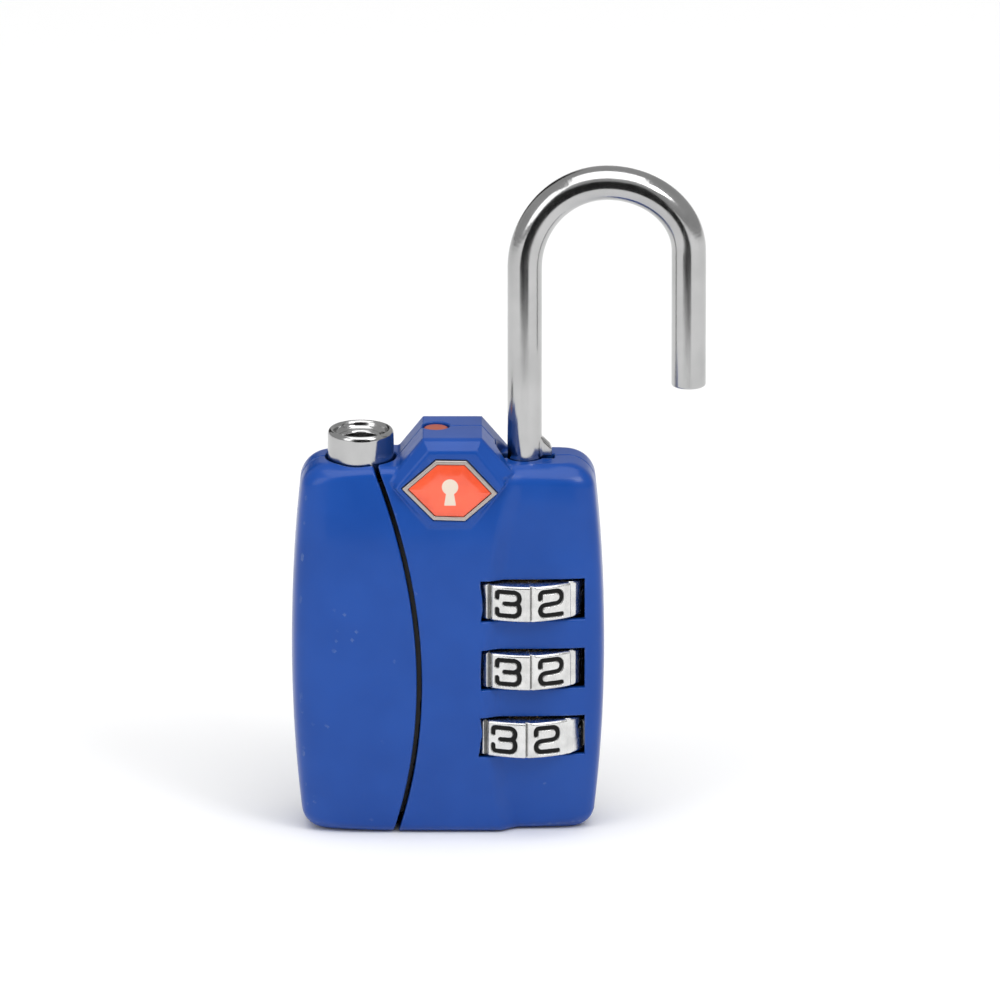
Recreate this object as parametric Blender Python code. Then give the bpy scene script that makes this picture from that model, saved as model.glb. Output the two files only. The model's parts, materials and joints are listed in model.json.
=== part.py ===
"""A three-dial luggage padlock with an inspection key: every piece is a separate solid.

X runs to the right, the front faces -Y and Z is up. The origin is the middle of the base.
The shackle stands raised and swung open, away from the button that receives its toe.
Dimensions are in millimetres, and MM scales each finished piece to metres.
"""

import math

import bmesh
import bpy
from mathutils import Matrix, Vector

MM = 0.001
GAP = 0.15
FAR = 20.0

# Housing
TOP_Z = 36.75
HALF_WIDTH, WIDEST_Z = 15.0, 18.5
HALF_DEPTH, DEEPEST_Z = 6.15, 17.5
TOP_HALF_DEPTH, BASE_HALF_DEPTH = 4.3, 3.75
SECTION_POWER = 5.0
TOP_CORNER, BASE_CORNER = 2.4, 2.0
FRONT_TOP_EDGE, DIAL_TOP_EDGE, BACK_TOP_EDGE, BASE_EDGE = 0.8, 1.7, 1.2, 0.9
SIDE_NARROWING, SIDE_REACH = 1.1, 18.0
CREASE_WIDTH = 2.0
SEAM_Y, SEAM_GAP = 0.2, 0.1
SKIN, GROOVE = 1.6, 0.5

# Raised hexagonal housing and its emblem, as (x, z) corners
HOUSING_HEX = ((-2.2, 39.7), (3.1, 39.7), (6.0, 36.2), (2.4, 30.9), (-2.1, 30.9), (-5.3, 35.4))
FACE_HEX = ((-1.8, 38.65), (2.7, 38.65), (5.3, 35.3), (2.05, 31.3), (-1.8, 31.3), (-4.9, 35.0))
EMBLEM_HEX = ((-1.15, 37.9), (1.8, 37.85), (4.75, 34.6), (1.65, 31.85), (-1.4, 31.95), (-4.4, 35.05))
HOUSING_FRONT_Y, FACE_HEX_Y, HOUSING_BACK_Y = -4.2, -5.35, 3.6
BACK_BEVEL_IN, BACK_BEVEL_DEPTH = 0.6, 0.7
RIM_WIDTH, RIM_PROUD, RIM_THICK = 0.42, 0.2, 0.55

# Shackle
LEG_X, LEG_R, LEG_SPACING = 7.35, 1.65, 15.7
PIN_R, PIN_FOOT_Z, LEG_FOOT_Z = 0.85, 17.7, 28.9
LEG_SPRING_Z, TOE_SPRING_Z, CROWN_Z, TOE_Z = 55.5, 57.2, 64.0, 43.8
SHACKLE_TRAVEL = 7.3
FLAT_DEPTH = 0.9
FIN_REACH, FIN_WIDTH, FIN_FOOT_Z, FIN_TOP_Z = 2.6, 1.2, 36.9, 38.7

# Dials
DIAL_Z = (23.85, 17.0, 10.2)
DIAL_NAMES = ("top", "middle", "bottom")
DIAL_R, DIAL_BORE_R, DIAL_THICK, DIGITS = 6.9, 3.6, 3.55, 10
SLOT_R, SLOT_HEIGHT, WEB_R = 7.12, 4.0, 4.8
WINDOW_LEFT_X, WINDOW_RIGHT_X, WINDOW_FLOOR_Y = 3.25, 13.1, -3.4
KEYWAY_HALF, KEYWAY_REACH = 0.7, 4.25
HUB_R, HUB_BORE_R, FLANGE_R, SPACER_R = 3.45, 2.5, 4.5, 4.2
FLANGE_LOW, FLANGE_HIGH, GATE_HALF = 2.45, 3.25, 0.8
DETENT_Y, DETENT_LOW_Z, DETENT_TOP_Z = 2.55, 8.3, 25.7

# Spindle
SPINDLE_R, SPINDLE_BORE_R, SPINDLE_FOOT_Z, SPINDLE_TOP_Z = 2.35, 1.8, 4.6, 27.2
SPINDLE_FLANGE_R, SPINDLE_FLANGE_LOW, SPINDLE_FLANGE_TOP = 3.4, 6.9, 7.9
COLLAR_R, COLLAR_LOW_Z, COLLAR_TOP_Z = 1.05, 19.7, 20.7

# Push button and latch
BUTTON_X, BUTTON_R, BUTTON_TOP_Z, BUTTON_FOOT_Z = -8.35, 3.175, 39.6, 34.3
BUTTON_HOLE_R, BUTTON_HOLE_FOOT_Z, BUTTON_TRAVEL = 3.4, 30.5, 1.5
TOE_BORE_R, TOE_BORE_DEPTH, CUP_EDGE_R = 1.85, 3.4, 0.7
STEM_R, STEM_FOOT_Z, WEDGE_BACK_X, WEDGE_LOW_Z, WEDGE_TOP_Z = 0.75, 30.0, -9.3, 26.9, 30.25
LATCH_TRAVEL = 1.1
LATCH_LOW_Z, LATCH_TOP_Z = 27.6, 28.6
WEDGE_X = -6.9
WEDGE_SLOPE = LATCH_TRAVEL / BUTTON_TRAVEL
PLATE_LEFT_X, PLATE_RIGHT_X, PLATE_HALF = 3.2, 9.4, 2.7
SPINE_LEFT_X, SPINE_RIGHT_X, SPINE_FOOT_Z, SPINE_HALF = -3.0, -1.25, 12.5, 1.1
FINGER_TIP_X, FINGER_HALF = 2.65, 0.6

# Inspection lock
KEY_X, PLUG_R, SHELL_R, PLUG_TOP_Z = -7.0, 1.75, 2.45, 12.0
WAFER_Z = (2.5, 4.1, 5.7, 7.3)
KEYWAY_TOP_Z, CAM_REACH, CAM_LOW_Z, CAM_TOP_Z, CAM_ROOM_Z = 9.0, 3.6, 12.3, 13.5, 14.8

# Alert pin
ALERT_X, ALERT_R, ALERT_TOP_Z = -1.15, 1.175, 39.55
ALERT_COLLAR_R, ALERT_FOOT_Z, ALERT_COLLAR_Z = 1.65, 34.2, 35.9

# Cover screws, as (x, z)
SCREWS = ((-11.2, 22.5), (-11.4, 4.8), (11.4, 32.0), (11.4, 4.2))
SCREW_HEAD_R, SCREW_R, SCREW_TIP_Y = 1.4, 0.75, -1.4
SCREW_HEAD_THICK, SCREW_SUNK, SLOT_LENGTH, SLOT_HALF = 0.95, 0.55, 0.95, 0.2

PAINTS = {
    "blue_paint": ((0.027, 0.098, 0.392), 0.0, 0.28),
    "chrome": ((0.78, 0.78, 0.79), 1.0, 0.12),
    "dial_chrome": ((0.66, 0.66, 0.65), 1.0, 0.3),
    "emblem_rim": ((0.55, 0.50, 0.46), 1.0, 0.35),
    "emblem_enamel": ((0.78, 0.085, 0.03), 0.0, 0.15),
    "alert_orange": ((0.72, 0.11, 0.03), 0.0, 0.35),
    "steel": ((0.55, 0.56, 0.58), 1.0, 0.35),
    "spring_steel": ((0.45, 0.46, 0.48), 1.0, 0.3),
    "brass": ((0.66, 0.48, 0.2), 1.0, 0.3),
}


def clear_scene():
    for item in list(bpy.data.objects):
        bpy.data.objects.remove(item)


def material(name):
    """The named Principled material, made on first use."""
    if name in bpy.data.materials:
        return bpy.data.materials[name]
    colour, metallic, roughness = PAINTS[name]
    made = bpy.data.materials.new(name)
    made.use_nodes = True
    shader = made.node_tree.nodes["Principled BSDF"]
    shader.inputs["Base Color"].default_value = (*colour, 1.0)
    shader.inputs["Metallic"].default_value = metallic
    shader.inputs["Roughness"].default_value = roughness
    made.diffuse_color = (*colour, 1.0)
    return made


# ---------------------------------------------------------------- solids


def solid(name, points, faces):
    """A closed mesh object from points in millimetres, with its faces turned outwards."""
    mesh = bpy.data.meshes.new(name)
    mesh.from_pydata([Vector(p) for p in points], [], faces)
    shape = bmesh.new()
    shape.from_mesh(mesh)
    bmesh.ops.triangulate(shape, faces=shape.faces)
    bmesh.ops.recalc_face_normals(shape, faces=shape.faces)
    shape.to_mesh(mesh)
    shape.free()
    made = bpy.data.objects.new(name, mesh)
    bpy.context.scene.collection.objects.link(made)
    return made


def loft(name, rings):
    """A solid skinned over rings that hold the same number of points, capped at both ends."""
    count = len(rings[0])
    points = [p for ring in rings for p in ring]
    faces = [list(range(count)), list(range(len(points) - count, len(points)))]
    for level in range(len(rings) - 1):
        low = level * count
        for i in range(count):
            j = (i + 1) % count
            faces.append((low + i, low + j, low + count + j, low + count + i))
    return solid(name, points, faces)


def lathe(name, profile, x=0.0, y=0.0, segments=32):
    """A solid turned about the vertical through (x, y) from a closed profile of (radius, z)."""
    points = []
    rows = []
    for radius, z in profile:
        if radius == 0:
            rows.append([len(points)] * segments)
            points.append((x, y, z))
            continue
        rows.append(list(range(len(points), len(points) + segments)))
        for k in range(segments):
            angle = 2 * math.pi * k / segments
            points.append((x + radius * math.cos(angle), y + radius * math.sin(angle), z))
    faces = []
    for row, after in zip(rows, rows[1:] + rows[:1]):
        for k in range(segments):
            n = (k + 1) % segments
            corners = dict.fromkeys((row[k], row[n], after[n], after[k]))
            if len(corners) > 2:
                faces.append(tuple(corners))
    return solid(name, points, faces)


def cylinder(name, radius, low, high, x=0.0, y=0.0, segments=32):
    return lathe(name, ((0, low), (radius, low), (radius, high), (0, high)), x, y, segments)


def box(name, low, high):
    corners = [(x, y, z) for z in (low[2], high[2]) for y in (low[1], high[1]) for x in (low[0], high[0])]
    faces = ((0, 1, 3, 2), (4, 5, 7, 6), (0, 1, 5, 4), (2, 3, 7, 6), (0, 2, 6, 4), (1, 3, 7, 5))
    return solid(name, corners, faces)


def prism(name, outline, front, back):
    """A solid between two planes of constant y, from an outline of (x, z) corners."""
    return loft(name, [[(x, y, z) for x, z in outline] for y in (front, back)])


def tube(name, centres, radius, sides=8):
    """A round bar of one radius along a list of centre points."""
    rings = []
    side = None
    for i, centre in enumerate(centres):
        before = Vector(centres[max(i - 1, 0)])
        ahead = (Vector(centres[min(i + 1, len(centres) - 1)]) - before).normalized()
        if side is None:
            side = ahead.orthogonal().normalized()
        side = (side - ahead * side.dot(ahead)).normalized()
        across = ahead.cross(side)
        ring = []
        for k in range(sides):
            angle = 2 * math.pi * k / sides
            ring.append(Vector(centre) + radius * (math.cos(angle) * side + math.sin(angle) * across))
        rings.append(ring)
    return loft(name, rings)


def spring(name, coil_r, wire_r, low, high, turns, x=0.0, y=0.0):
    """A round-wire compression spring whose centre line runs from low to high."""
    steps = turns * 12
    centres = []
    for i in range(steps + 1):
        angle = 2 * math.pi * turns * i / steps
        z = low + wire_r + (high - low - 2 * wire_r) * i / steps
        centres.append((x + coil_r * math.cos(angle), y + coil_r * math.sin(angle), z))
    return tube(name, centres, wire_r, 5)


def turned(item, axis, degrees, about=(0, 0, 0)):
    """The item turned in place about an axis through a point."""
    centre = Vector(about)
    turn = Matrix.Rotation(math.radians(degrees), 4, axis)
    item.data.transform(Matrix.Translation(centre) @ turn @ Matrix.Translation(-centre))
    return item


def combine(item, other, operation):
    """The item's mesh after a Boolean with the other, which is used up."""
    modifier = item.modifiers.new(operation, "BOOLEAN")
    modifier.operation = operation
    modifier.solver = "EXACT"
    modifier.object = other
    bpy.context.view_layer.update()
    graph = bpy.context.evaluated_depsgraph_get()
    result = bpy.data.meshes.new_from_object(item.evaluated_get(graph))
    item.modifiers.clear()
    item.data = result
    bpy.data.objects.remove(other)
    return item


def cut(item, *cutters):
    for cutter in cutters:
        combine(item, cutter, "DIFFERENCE")
    return item


def join(item, *others):
    for other in others:
        combine(item, other, "UNION")
    return item


def keep(item, *others):
    for other in others:
        combine(item, other, "INTERSECT")
    return item


def inset(outline, distance):
    """A convex outline with each side moved inwards by the distance."""
    middle = Vector((sum(p[0] for p in outline), sum(p[1] for p in outline))) / len(outline)
    sides = []
    for here, there in zip(outline, outline[1:] + outline[:1]):
        start = Vector(here)
        along = (Vector(there) - start).normalized()
        inward = Vector((-along.y, along.x))
        if inward.dot(middle - start) < 0:
            inward = -inward
        sides.append((start + inward * distance, along))
    corners = []
    for (start, along), (last_start, last_along) in zip(sides, sides[-1:] + sides[:-1]):
        cross = along.x * last_along.y - along.y * last_along.x
        offset = last_start - start
        reach = (offset.x * last_along.y - offset.y * last_along.x) / cross
        corners.append(tuple(start + along * reach))
    return tuple(corners)


# ---------------------------------------------------------------- housing form


def half_width(z):
    return HALF_WIDTH - SIDE_NARROWING * ((z - WIDEST_Z) / SIDE_REACH) ** 2


def half_depth(z):
    if z > DEEPEST_Z:
        share = (z - DEEPEST_Z) / (TOP_Z - DEEPEST_Z)
        return HALF_DEPTH - (HALF_DEPTH - TOP_HALF_DEPTH) * share**2
    share = (DEEPEST_Z - z) / DEEPEST_Z
    return HALF_DEPTH - (HALF_DEPTH - BASE_HALF_DEPTH) * share**2.6


def smooth(value):
    share = min(max(value, 0.0), 1.0)
    return share * share * (3 - 2 * share)


def crease_x(z):
    """Where the shallow step on the front, left of the dials, starts at this height."""
    return 3.05 + 0.0068 * (z - 16.5) ** 2


def recess(x, z):
    """How far the dial side of the front lies behind the full pillow shape."""
    depth = 0.7 + 0.4 * smooth((8.0 - z) / 8.0) - 0.4 * smooth((z - 28.0) / 8.0)
    return depth * smooth((x - crease_x(z)) / CREASE_WIDTH)


def groove_x(z):
    """The panel line on the front, which bows towards the middle."""
    return -2.75 - 0.0094 * (z - 15.6) ** 2


def fillet(z, low_radius, high_radius):
    """How far the outline draws in at this height to round the base and the top edge."""
    from_base = low_radius - z
    from_top = z - (TOP_Z - high_radius)
    for over, radius in ((from_base, low_radius), (from_top, high_radius)):
        if over > 0:
            over = min(over, radius)
            return radius - math.sqrt(max(radius**2 - over**2, 0.0))
    return 0.0


def surface_y(x, z, side):
    """Half the depth of the housing at (x, z), on the front for side -1 or the back for +1."""
    width = half_width(z) - fillet(z, BASE_CORNER, TOP_CORNER)
    top_edge = BACK_TOP_EDGE
    if side < 0:
        top_edge = FRONT_TOP_EDGE + (DIAL_TOP_EDGE - FRONT_TOP_EDGE) * smooth((x + 3) / 6)
    depth = half_depth(z) - fillet(z, BASE_EDGE, top_edge)
    if side < 0:
        depth -= recess(x, z)
    share = min(abs(x) / width, 1.0)
    return depth * (1 - share**SECTION_POWER) ** (1 / SECTION_POWER)


def front_samples(z, width):
    """Positions across the front that follow the crease from ring to ring."""
    crease = crease_x(z)
    left = [-math.sin(math.pi / 2 * (1 - i / 8)) ** 0.55 for i in range(8)]
    samples = [share * width for share in left]
    samples += [0.0, crease / 2]
    samples += [crease + CREASE_WIDTH * i / 5 for i in range(6)]
    start = (crease + CREASE_WIDTH) / width
    for i in range(1, 9):
        share = math.sin(math.pi / 2 * i / 8) ** 0.75
        samples.append((start + (1 - start) * share) * width)
    return samples


def housing_ring(z, skin):
    """One level of the housing's form, drawn in by the skin thickness all round."""
    full = half_width(z) - fillet(z, BASE_CORNER, TOP_CORNER)
    width = full - skin
    ring = []
    for x in front_samples(z, width):
        outer_x = x * full / width
        ring.append((x, -max(surface_y(outer_x, z, -1) - skin, 0.02), z))
    back = [math.cos(math.pi * i / 14) for i in range(1, 14)]
    for share in back:
        x = math.copysign(abs(share) ** 0.5, share) * width
        ring.append((x, max(surface_y(x * full / width, z, 1) - skin, 0.02), z))
    return ring


def housing_form(name, skin=0.0):
    """The pillow-shaped body, as a full solid or drawn in by a skin thickness."""
    base = [BASE_CORNER * (1 - math.cos(math.radians(a))) for a in (0, 22, 45, 67, 90)]
    body = [BASE_CORNER + (TOP_Z - TOP_CORNER - BASE_CORNER) * i / 11 for i in range(1, 11)]
    top = [TOP_Z - TOP_CORNER * (1 - math.sin(math.radians(a))) for a in (0, 22, 40, 56, 70, 81, 90)]
    levels = base + body + top
    if skin:
        levels = [z for z in levels if skin < z < TOP_Z - skin]
        levels = [skin] + levels + [TOP_Z - skin]
    return loft(name, [housing_ring(z, skin) for z in levels])


def hex_housing():
    """The raised block over the emblem, bevelled at its front and back."""
    levels = (
        (FACE_HEX, FACE_HEX_Y),
        (HOUSING_HEX, HOUSING_FRONT_Y),
        (HOUSING_HEX, HOUSING_BACK_Y),
        (inset(HOUSING_HEX, BACK_BEVEL_IN), HOUSING_BACK_Y + BACK_BEVEL_DEPTH),
    )
    return loft("hex_housing", [[(x, y, z) for x, z in outline] for outline, y in levels])


def panel_zone(name, shift):
    """Everything on the front, left of the panel line moved to the right by shift."""
    low, high, steps = -2.0, 40.0, 28
    outline = [(-FAR, low)]
    for i in range(steps + 1):
        z = low + (high - low) * i / steps
        outline.append((groove_x(z) + shift, z))
    outline.append((-FAR, high))
    return prism(name, outline, -FAR, SEAM_Y - SEAM_GAP / 2)


def dial_cavity():
    """The turned space round the leg: dial slots, webs, spindle pocket and leg hole."""
    flange_r, flange_low = SPINDLE_FLANGE_R + 0.2, SPINDLE_FLANGE_LOW - 0.2
    profile = [(0, SPINDLE_FOOT_Z - GAP), (SPINDLE_R + GAP, SPINDLE_FOOT_Z - GAP)]
    profile += [(SPINDLE_R + GAP, flange_low), (flange_r, flange_low)]
    for z in reversed(DIAL_Z):
        low, high = z - SLOT_HEIGHT / 2, z + SLOT_HEIGHT / 2
        inner = profile[-1][0]
        profile += [(inner, low), (SLOT_R, low), (SLOT_R, high), (WEB_R, high)]
    hole_r, roof = LEG_R + GAP, SPINDLE_TOP_Z + 0.25
    profile += [(WEB_R, roof), (hole_r, roof), (hole_r, TOP_Z + 4), (0, TOP_Z + 4)]
    return lathe("dial_cavity", profile, LEG_X, 0, 48)


def window(z):
    half = SLOT_HEIGHT / 2 + 0.03
    return box("window", (WINDOW_LEFT_X, -FAR, z - half), (WINDOW_RIGHT_X, WINDOW_FLOOR_Y, z + half))


def latch_cavities():
    """Room for the latch bar, its fingers, its spring and the button's wedge."""
    room, side, rise = LATCH_TRAVEL + GAP, 0.25, 0.2
    half, plate_half, finger_half = SPINE_HALF + side, PLATE_HALF + side, FINGER_HALF + side
    low, top = LATCH_LOW_Z - rise, LATCH_TOP_Z + rise
    yield box("arm_room", (WEDGE_X - 0.9, -half, low), (PLATE_LEFT_X + 0.8, half, top))
    yield box("plate_room", (PLATE_LEFT_X - rise, -plate_half, low), (PLATE_RIGHT_X + room, plate_half, top))
    foot = SPINE_FOOT_Z - 0.3
    yield box("spine_room", (SPINE_LEFT_X - side, -half, foot), (SPINE_RIGHT_X + room, half, 28.0))
    for z in DIAL_Z:
        below, above = z + FLANGE_LOW - side, z + FLANGE_HIGH + side
        yield box("finger_room", (-1.2, -finger_half, below), (LEG_X - WEB_R + 1, finger_half, above))
    yield box("spring_room", (PLATE_RIGHT_X - 0.4, -1.1, low - 0.3), (13.5, 1.1, top + 0.3))
    wedge_half = SPINE_HALF + 0.3
    yield box("wedge_room", (WEDGE_BACK_X - 0.3, -wedge_half, 24.9), (-4.4, wedge_half, WEDGE_TOP_Z + 0.35))


def key_cavities():
    yield cylinder("shell_room", SHELL_R + 0.1, -1, PLUG_TOP_Z + 0.2, KEY_X, 0)
    yield cylinder("cam_room", CAM_REACH + 0.25, PLUG_TOP_Z, CAM_ROOM_Z, KEY_X, 0)


def button_cavities():
    yield cylinder("button_room", BUTTON_HOLE_R, BUTTON_HOLE_FOOT_Z, TOP_Z + FAR, BUTTON_X, 0, 36)


def alert_cavities():
    low, high = ALERT_FOOT_Z - 0.9, ALERT_COLLAR_Z + 2.4
    yield cylinder("alert_hole", ALERT_R + GAP, ALERT_COLLAR_Z, TOP_Z + FAR, ALERT_X, SEAM_Y, 28)
    yield cylinder("alert_room", ALERT_COLLAR_R + 0.3, low, high, ALERT_X, SEAM_Y, 24)


def fin_cavities():
    """Slots for the leg's fin on both sides of the hole, and its turning relief."""
    reach, half = FIN_REACH + 0.25, FIN_WIDTH / 2 + GAP
    low = FIN_FOOT_Z - SHACKLE_TRAVEL - 0.35
    yield box("fin_slot", (LEG_X - reach, -half, low), (LEG_X + reach, half, TOP_Z + 1))
    yield cylinder("fin_relief", reach, TOP_Z, TOP_Z + 5, LEG_X, 0, 36)


def detent_cavity():
    low, top = DETENT_LOW_Z - 0.25, DETENT_TOP_Z + 0.25
    return box("detent_room", (-0.55, DETENT_Y - 0.25, low), (1.3, DETENT_Y + 2.15, top))


def screw_cavities():
    """Shank holes through both covers, with counterbores in the back."""
    for x, z in SCREWS:
        back = surface_y(x, z, 1)
        shank = (SCREW_R + 0.1, SCREW_TIP_Y - 0.2, back)
        counterbore = (SCREW_HEAD_R + GAP, back - 1.7, 9)
        for radius, start, end in (shank, counterbore):
            hole = cylinder("screw_hole", radius, start, end, 0, 0, 20)
            turned(hole, "X", -90)
            hole.data.transform(Matrix.Translation((x, 0, z)))
            yield hole


def emblem_pocket():
    return prism("emblem_pocket", inset(EMBLEM_HEX, -0.1), -FAR, FACE_HEX_Y + 0.5)


def cavities():
    """Every shared space inside the housing."""
    yield dial_cavity()
    yield detent_cavity()
    yield from latch_cavities()
    yield from key_cavities()
    yield from button_cavities()
    yield from alert_cavities()
    yield from fin_cavities()
    yield from screw_cavities()


def front_cover():
    item = join(housing_form("front_cover"), hex_housing())
    cut(item, box("behind", (-FAR, SEAM_Y - SEAM_GAP / 2, -1), (FAR, FAR, 50)))
    panel_space = cut(panel_zone("panel_space", GROOVE / 2), housing_form("core", SKIN + 0.12))
    cut(item, cut(panel_space, hex_prism("hex_guard", -0.3)))
    cut(item, emblem_pocket(), *cavities())
    for z in DIAL_Z:
        cut(item, window(z))
    return item


def hex_prism(name, distance):
    """The raised block's outline, drawn in by the distance and run right through the body."""
    return prism(name, inset(HOUSING_HEX, distance), -FAR, FAR)


def left_panel():
    item = keep(housing_form("left_panel"), panel_zone("panel_side", -GROOVE / 2))
    cut(item, housing_form("panel_back", SKIN))
    cut(item, hex_prism("hex_edge", -0.75))
    cut(item, *button_cavities(), *key_cavities())
    return item


def rear_cover():
    item = join(housing_form("rear_cover"), hex_housing())
    cut(item, box("ahead", (-FAR, -FAR, -1), (FAR, SEAM_Y + SEAM_GAP / 2, 50)))
    return cut(item, *cavities())


# ---------------------------------------------------------------- pieces


def emblem_plate():
    front = FACE_HEX_Y - RIM_PROUD
    item = prism("emblem_plate", EMBLEM_HEX, front, front + RIM_THICK)
    return cut(item, prism("inlay_space", inset(EMBLEM_HEX, RIM_WIDTH), -FAR, FACE_HEX_Y + 0.05))


def emblem_inlay():
    """A low dome of enamel inside the plate's rim."""
    rings = []
    for edge, y in ((1.1, -0.36), (0.7, -0.3), (0.5, -0.16), (0.5, -0.05)):
        rings.append([(x, FACE_HEX_Y + y, z) for x, z in inset(EMBLEM_HEX, edge)])
    return loft("emblem_inlay", rings)


def shackle():
    """A bent bar: guided leg with pin, fin and latch cuts, crown, and free leg with its toe."""
    toe_x = LEG_X + LEG_SPACING
    half = LEG_SPACING / 2
    middle = LEG_X + half
    centres = [(LEG_X, 0, LEG_FOOT_Z), (LEG_X, 0, 45.0)]
    for i in range(25):
        angle = math.pi * i / 24
        spring_z = LEG_SPRING_Z if i <= 12 else TOE_SPRING_Z
        x = middle - half * math.cos(angle)
        centres.append((x, 0, spring_z + (CROWN_Z - spring_z) * math.sin(angle)))
    edge = 0.25
    centres += [(toe_x, 0, 50.0), (toe_x, 0, TOE_Z + edge)]
    item = tube("shackle", centres, LEG_R, 20)
    toe = [(0, TOE_Z), (LEG_R - edge, TOE_Z), (LEG_R, TOE_Z + edge), (LEG_R, TOE_Z + 1), (0, TOE_Z + 1)]
    join(item, turned(lathe("toe", toe, toe_x, 0, 20), "Z", 9, (toe_x, 0, 0)))
    join(item, cylinder("pin", PIN_R, PIN_FOOT_Z, LEG_FOOT_Z + 1, LEG_X, 0, 16))
    root, tip = LEG_X + 0.5, LEG_X + FIN_REACH
    fin = [(root, FIN_FOOT_Z), (tip, FIN_FOOT_Z), (tip, FIN_TOP_Z - 1.0), (LEG_X + LEG_R, FIN_TOP_Z)]
    fin.append((root, FIN_TOP_Z))
    join(item, prism("fin", fin, -FIN_WIDTH / 2, FIN_WIDTH / 2))
    notch_low = LATCH_LOW_Z + SHACKLE_TRAVEL - 0.2
    notch_top = LATCH_TOP_Z + SHACKLE_TRAVEL + 0.2
    cut(item, box("flat", (LEG_X + FLAT_DEPTH, -3, LEG_FOOT_Z - 1), (LEG_X + 3, 3, notch_top)))
    return cut(item, box("notch", (LEG_X - 3, -3, notch_low), (LEG_X - FLAT_DEPTH, 3, notch_top)))


def heel_retainer():
    """The ring pressed on the pin, which stops against the spindle's collar."""
    profile = ((PIN_R + 0.1, 17.9), (1.4, 17.9), (1.55, 18.05), (1.55, 19.5), (PIN_R + 0.1, 19.5))
    return lathe("heel_retainer", profile, LEG_X, 0, 24)


def spring_cap():
    """The cap between the spring and the pin, which doesn't turn with the shackle."""
    profile = ((0, 15.2), (0.75, 15.2), (0.75, 16.2), (1.6, 16.2), (1.6, 17.3), (1.45, 17.45), (0, 17.45))
    return lathe("spring_cap", profile, LEG_X, 0, 24)


def spindle_tube():
    """The fixed tube that the wheels turn on, with the spring at its foot and a collar inside."""
    low, top, bore = SPINDLE_FOOT_Z, SPINDLE_TOP_Z, SPINDLE_BORE_R
    profile = [(0, low), (SPINDLE_R, low), (SPINDLE_R, SPINDLE_FLANGE_LOW)]
    profile += [(SPINDLE_FLANGE_R, SPINDLE_FLANGE_LOW), (SPINDLE_FLANGE_R, SPINDLE_FLANGE_TOP)]
    profile += [(SPINDLE_R, SPINDLE_FLANGE_TOP)]
    profile += [(SPINDLE_R, top), (bore, top), (bore, COLLAR_TOP_Z), (COLLAR_R, COLLAR_TOP_Z)]
    profile += [(COLLAR_R, COLLAR_LOW_Z), (bore, COLLAR_LOW_Z), (bore, low + 0.7), (0, low + 0.7)]
    return lathe("spindle_tube", profile, LEG_X, 0, 24)


def wheel_outline(radius):
    """The rim of a number wheel: a flat for each digit, with a groove between neighbours."""
    points = []
    step = 2 * math.pi / DIGITS
    for i in range(DIGITS):
        centre = -math.pi / 2 + step * (i + 0.5)
        for offset, share in ((-0.5, 0.945), (-0.44, 1.0), (0.44, 1.0)):
            angle = centre + offset * step
            points.append((share * radius * math.cos(angle), share * radius * math.sin(angle)))
    return points


def number_wheel(name, middle_z):
    """A wheel with one flat for each digit, chamfered edges and a keyed bore."""
    half, edge = DIAL_THICK / 2, 0.22
    small = DIAL_R - edge
    rings = []
    for rise, radius in ((-half, small), (edge - half, DIAL_R), (half - edge, DIAL_R), (half, small)):
        rings.append([(LEG_X + x, y, middle_z + rise) for x, y in wheel_outline(radius)])
    item = loft(name, rings)
    low, high = middle_z - DIAL_THICK, middle_z + DIAL_THICK
    cut(item, cylinder("bore", DIAL_BORE_R, low, high, LEG_X, 0))
    return cut(item, box("keyway", (LEG_X + 3, -KEYWAY_HALF, low), (LEG_X + KEYWAY_REACH, KEYWAY_HALF, high)))


def clutch_sleeve(name, middle_z):
    """The hub inside a wheel. Its flange has two opposite gates, and the latch finger enters one."""
    low, flange, top = middle_z - 1.65, middle_z + FLANGE_LOW, middle_z + FLANGE_HIGH
    profile = [(HUB_BORE_R, low), (HUB_R, low), (HUB_R, flange), (FLANGE_R, flange)]
    profile += [(FLANGE_R, top), (HUB_BORE_R, top)]
    item = lathe(name, profile, LEG_X, 0, 28)
    key_half, key_tip = KEYWAY_HALF - GAP, LEG_X + KEYWAY_REACH - GAP
    join(item, box("key", (LEG_X + 3.2, -key_half, low), (key_tip, key_half, middle_z + 1.6)))
    for near, far in ((LEG_X - HUB_R, LEG_X - 6), (LEG_X + HUB_R, LEG_X + 6)):
        left, right = min(near, far), max(near, far)
        cut(item, box("gate", (left, -GATE_HALF, flange - 0.1), (right, GATE_HALF, top + 1)))
    return item


def spacer_ring(name, low, high):
    """A ring that keeps two neighbouring wheels apart."""
    profile = ((HUB_BORE_R, low), (SPACER_R, low), (SPACER_R, high), (HUB_BORE_R, high))
    return lathe(name, profile, LEG_X, 0, 28)


def detent_leaf():
    """A strip behind the wheels with one click pad for each."""
    item = box("detent_leaf", (-0.3, DETENT_Y, DETENT_LOW_Z), (0.1, DETENT_Y + 1.9, DETENT_TOP_Z))
    for z in DIAL_Z:
        join(item, box("pad", (-0.1, DETENT_Y + 0.55, z - 0.9), (1.0, DETENT_Y + 1.25, z + 0.9)))
    return item


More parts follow.
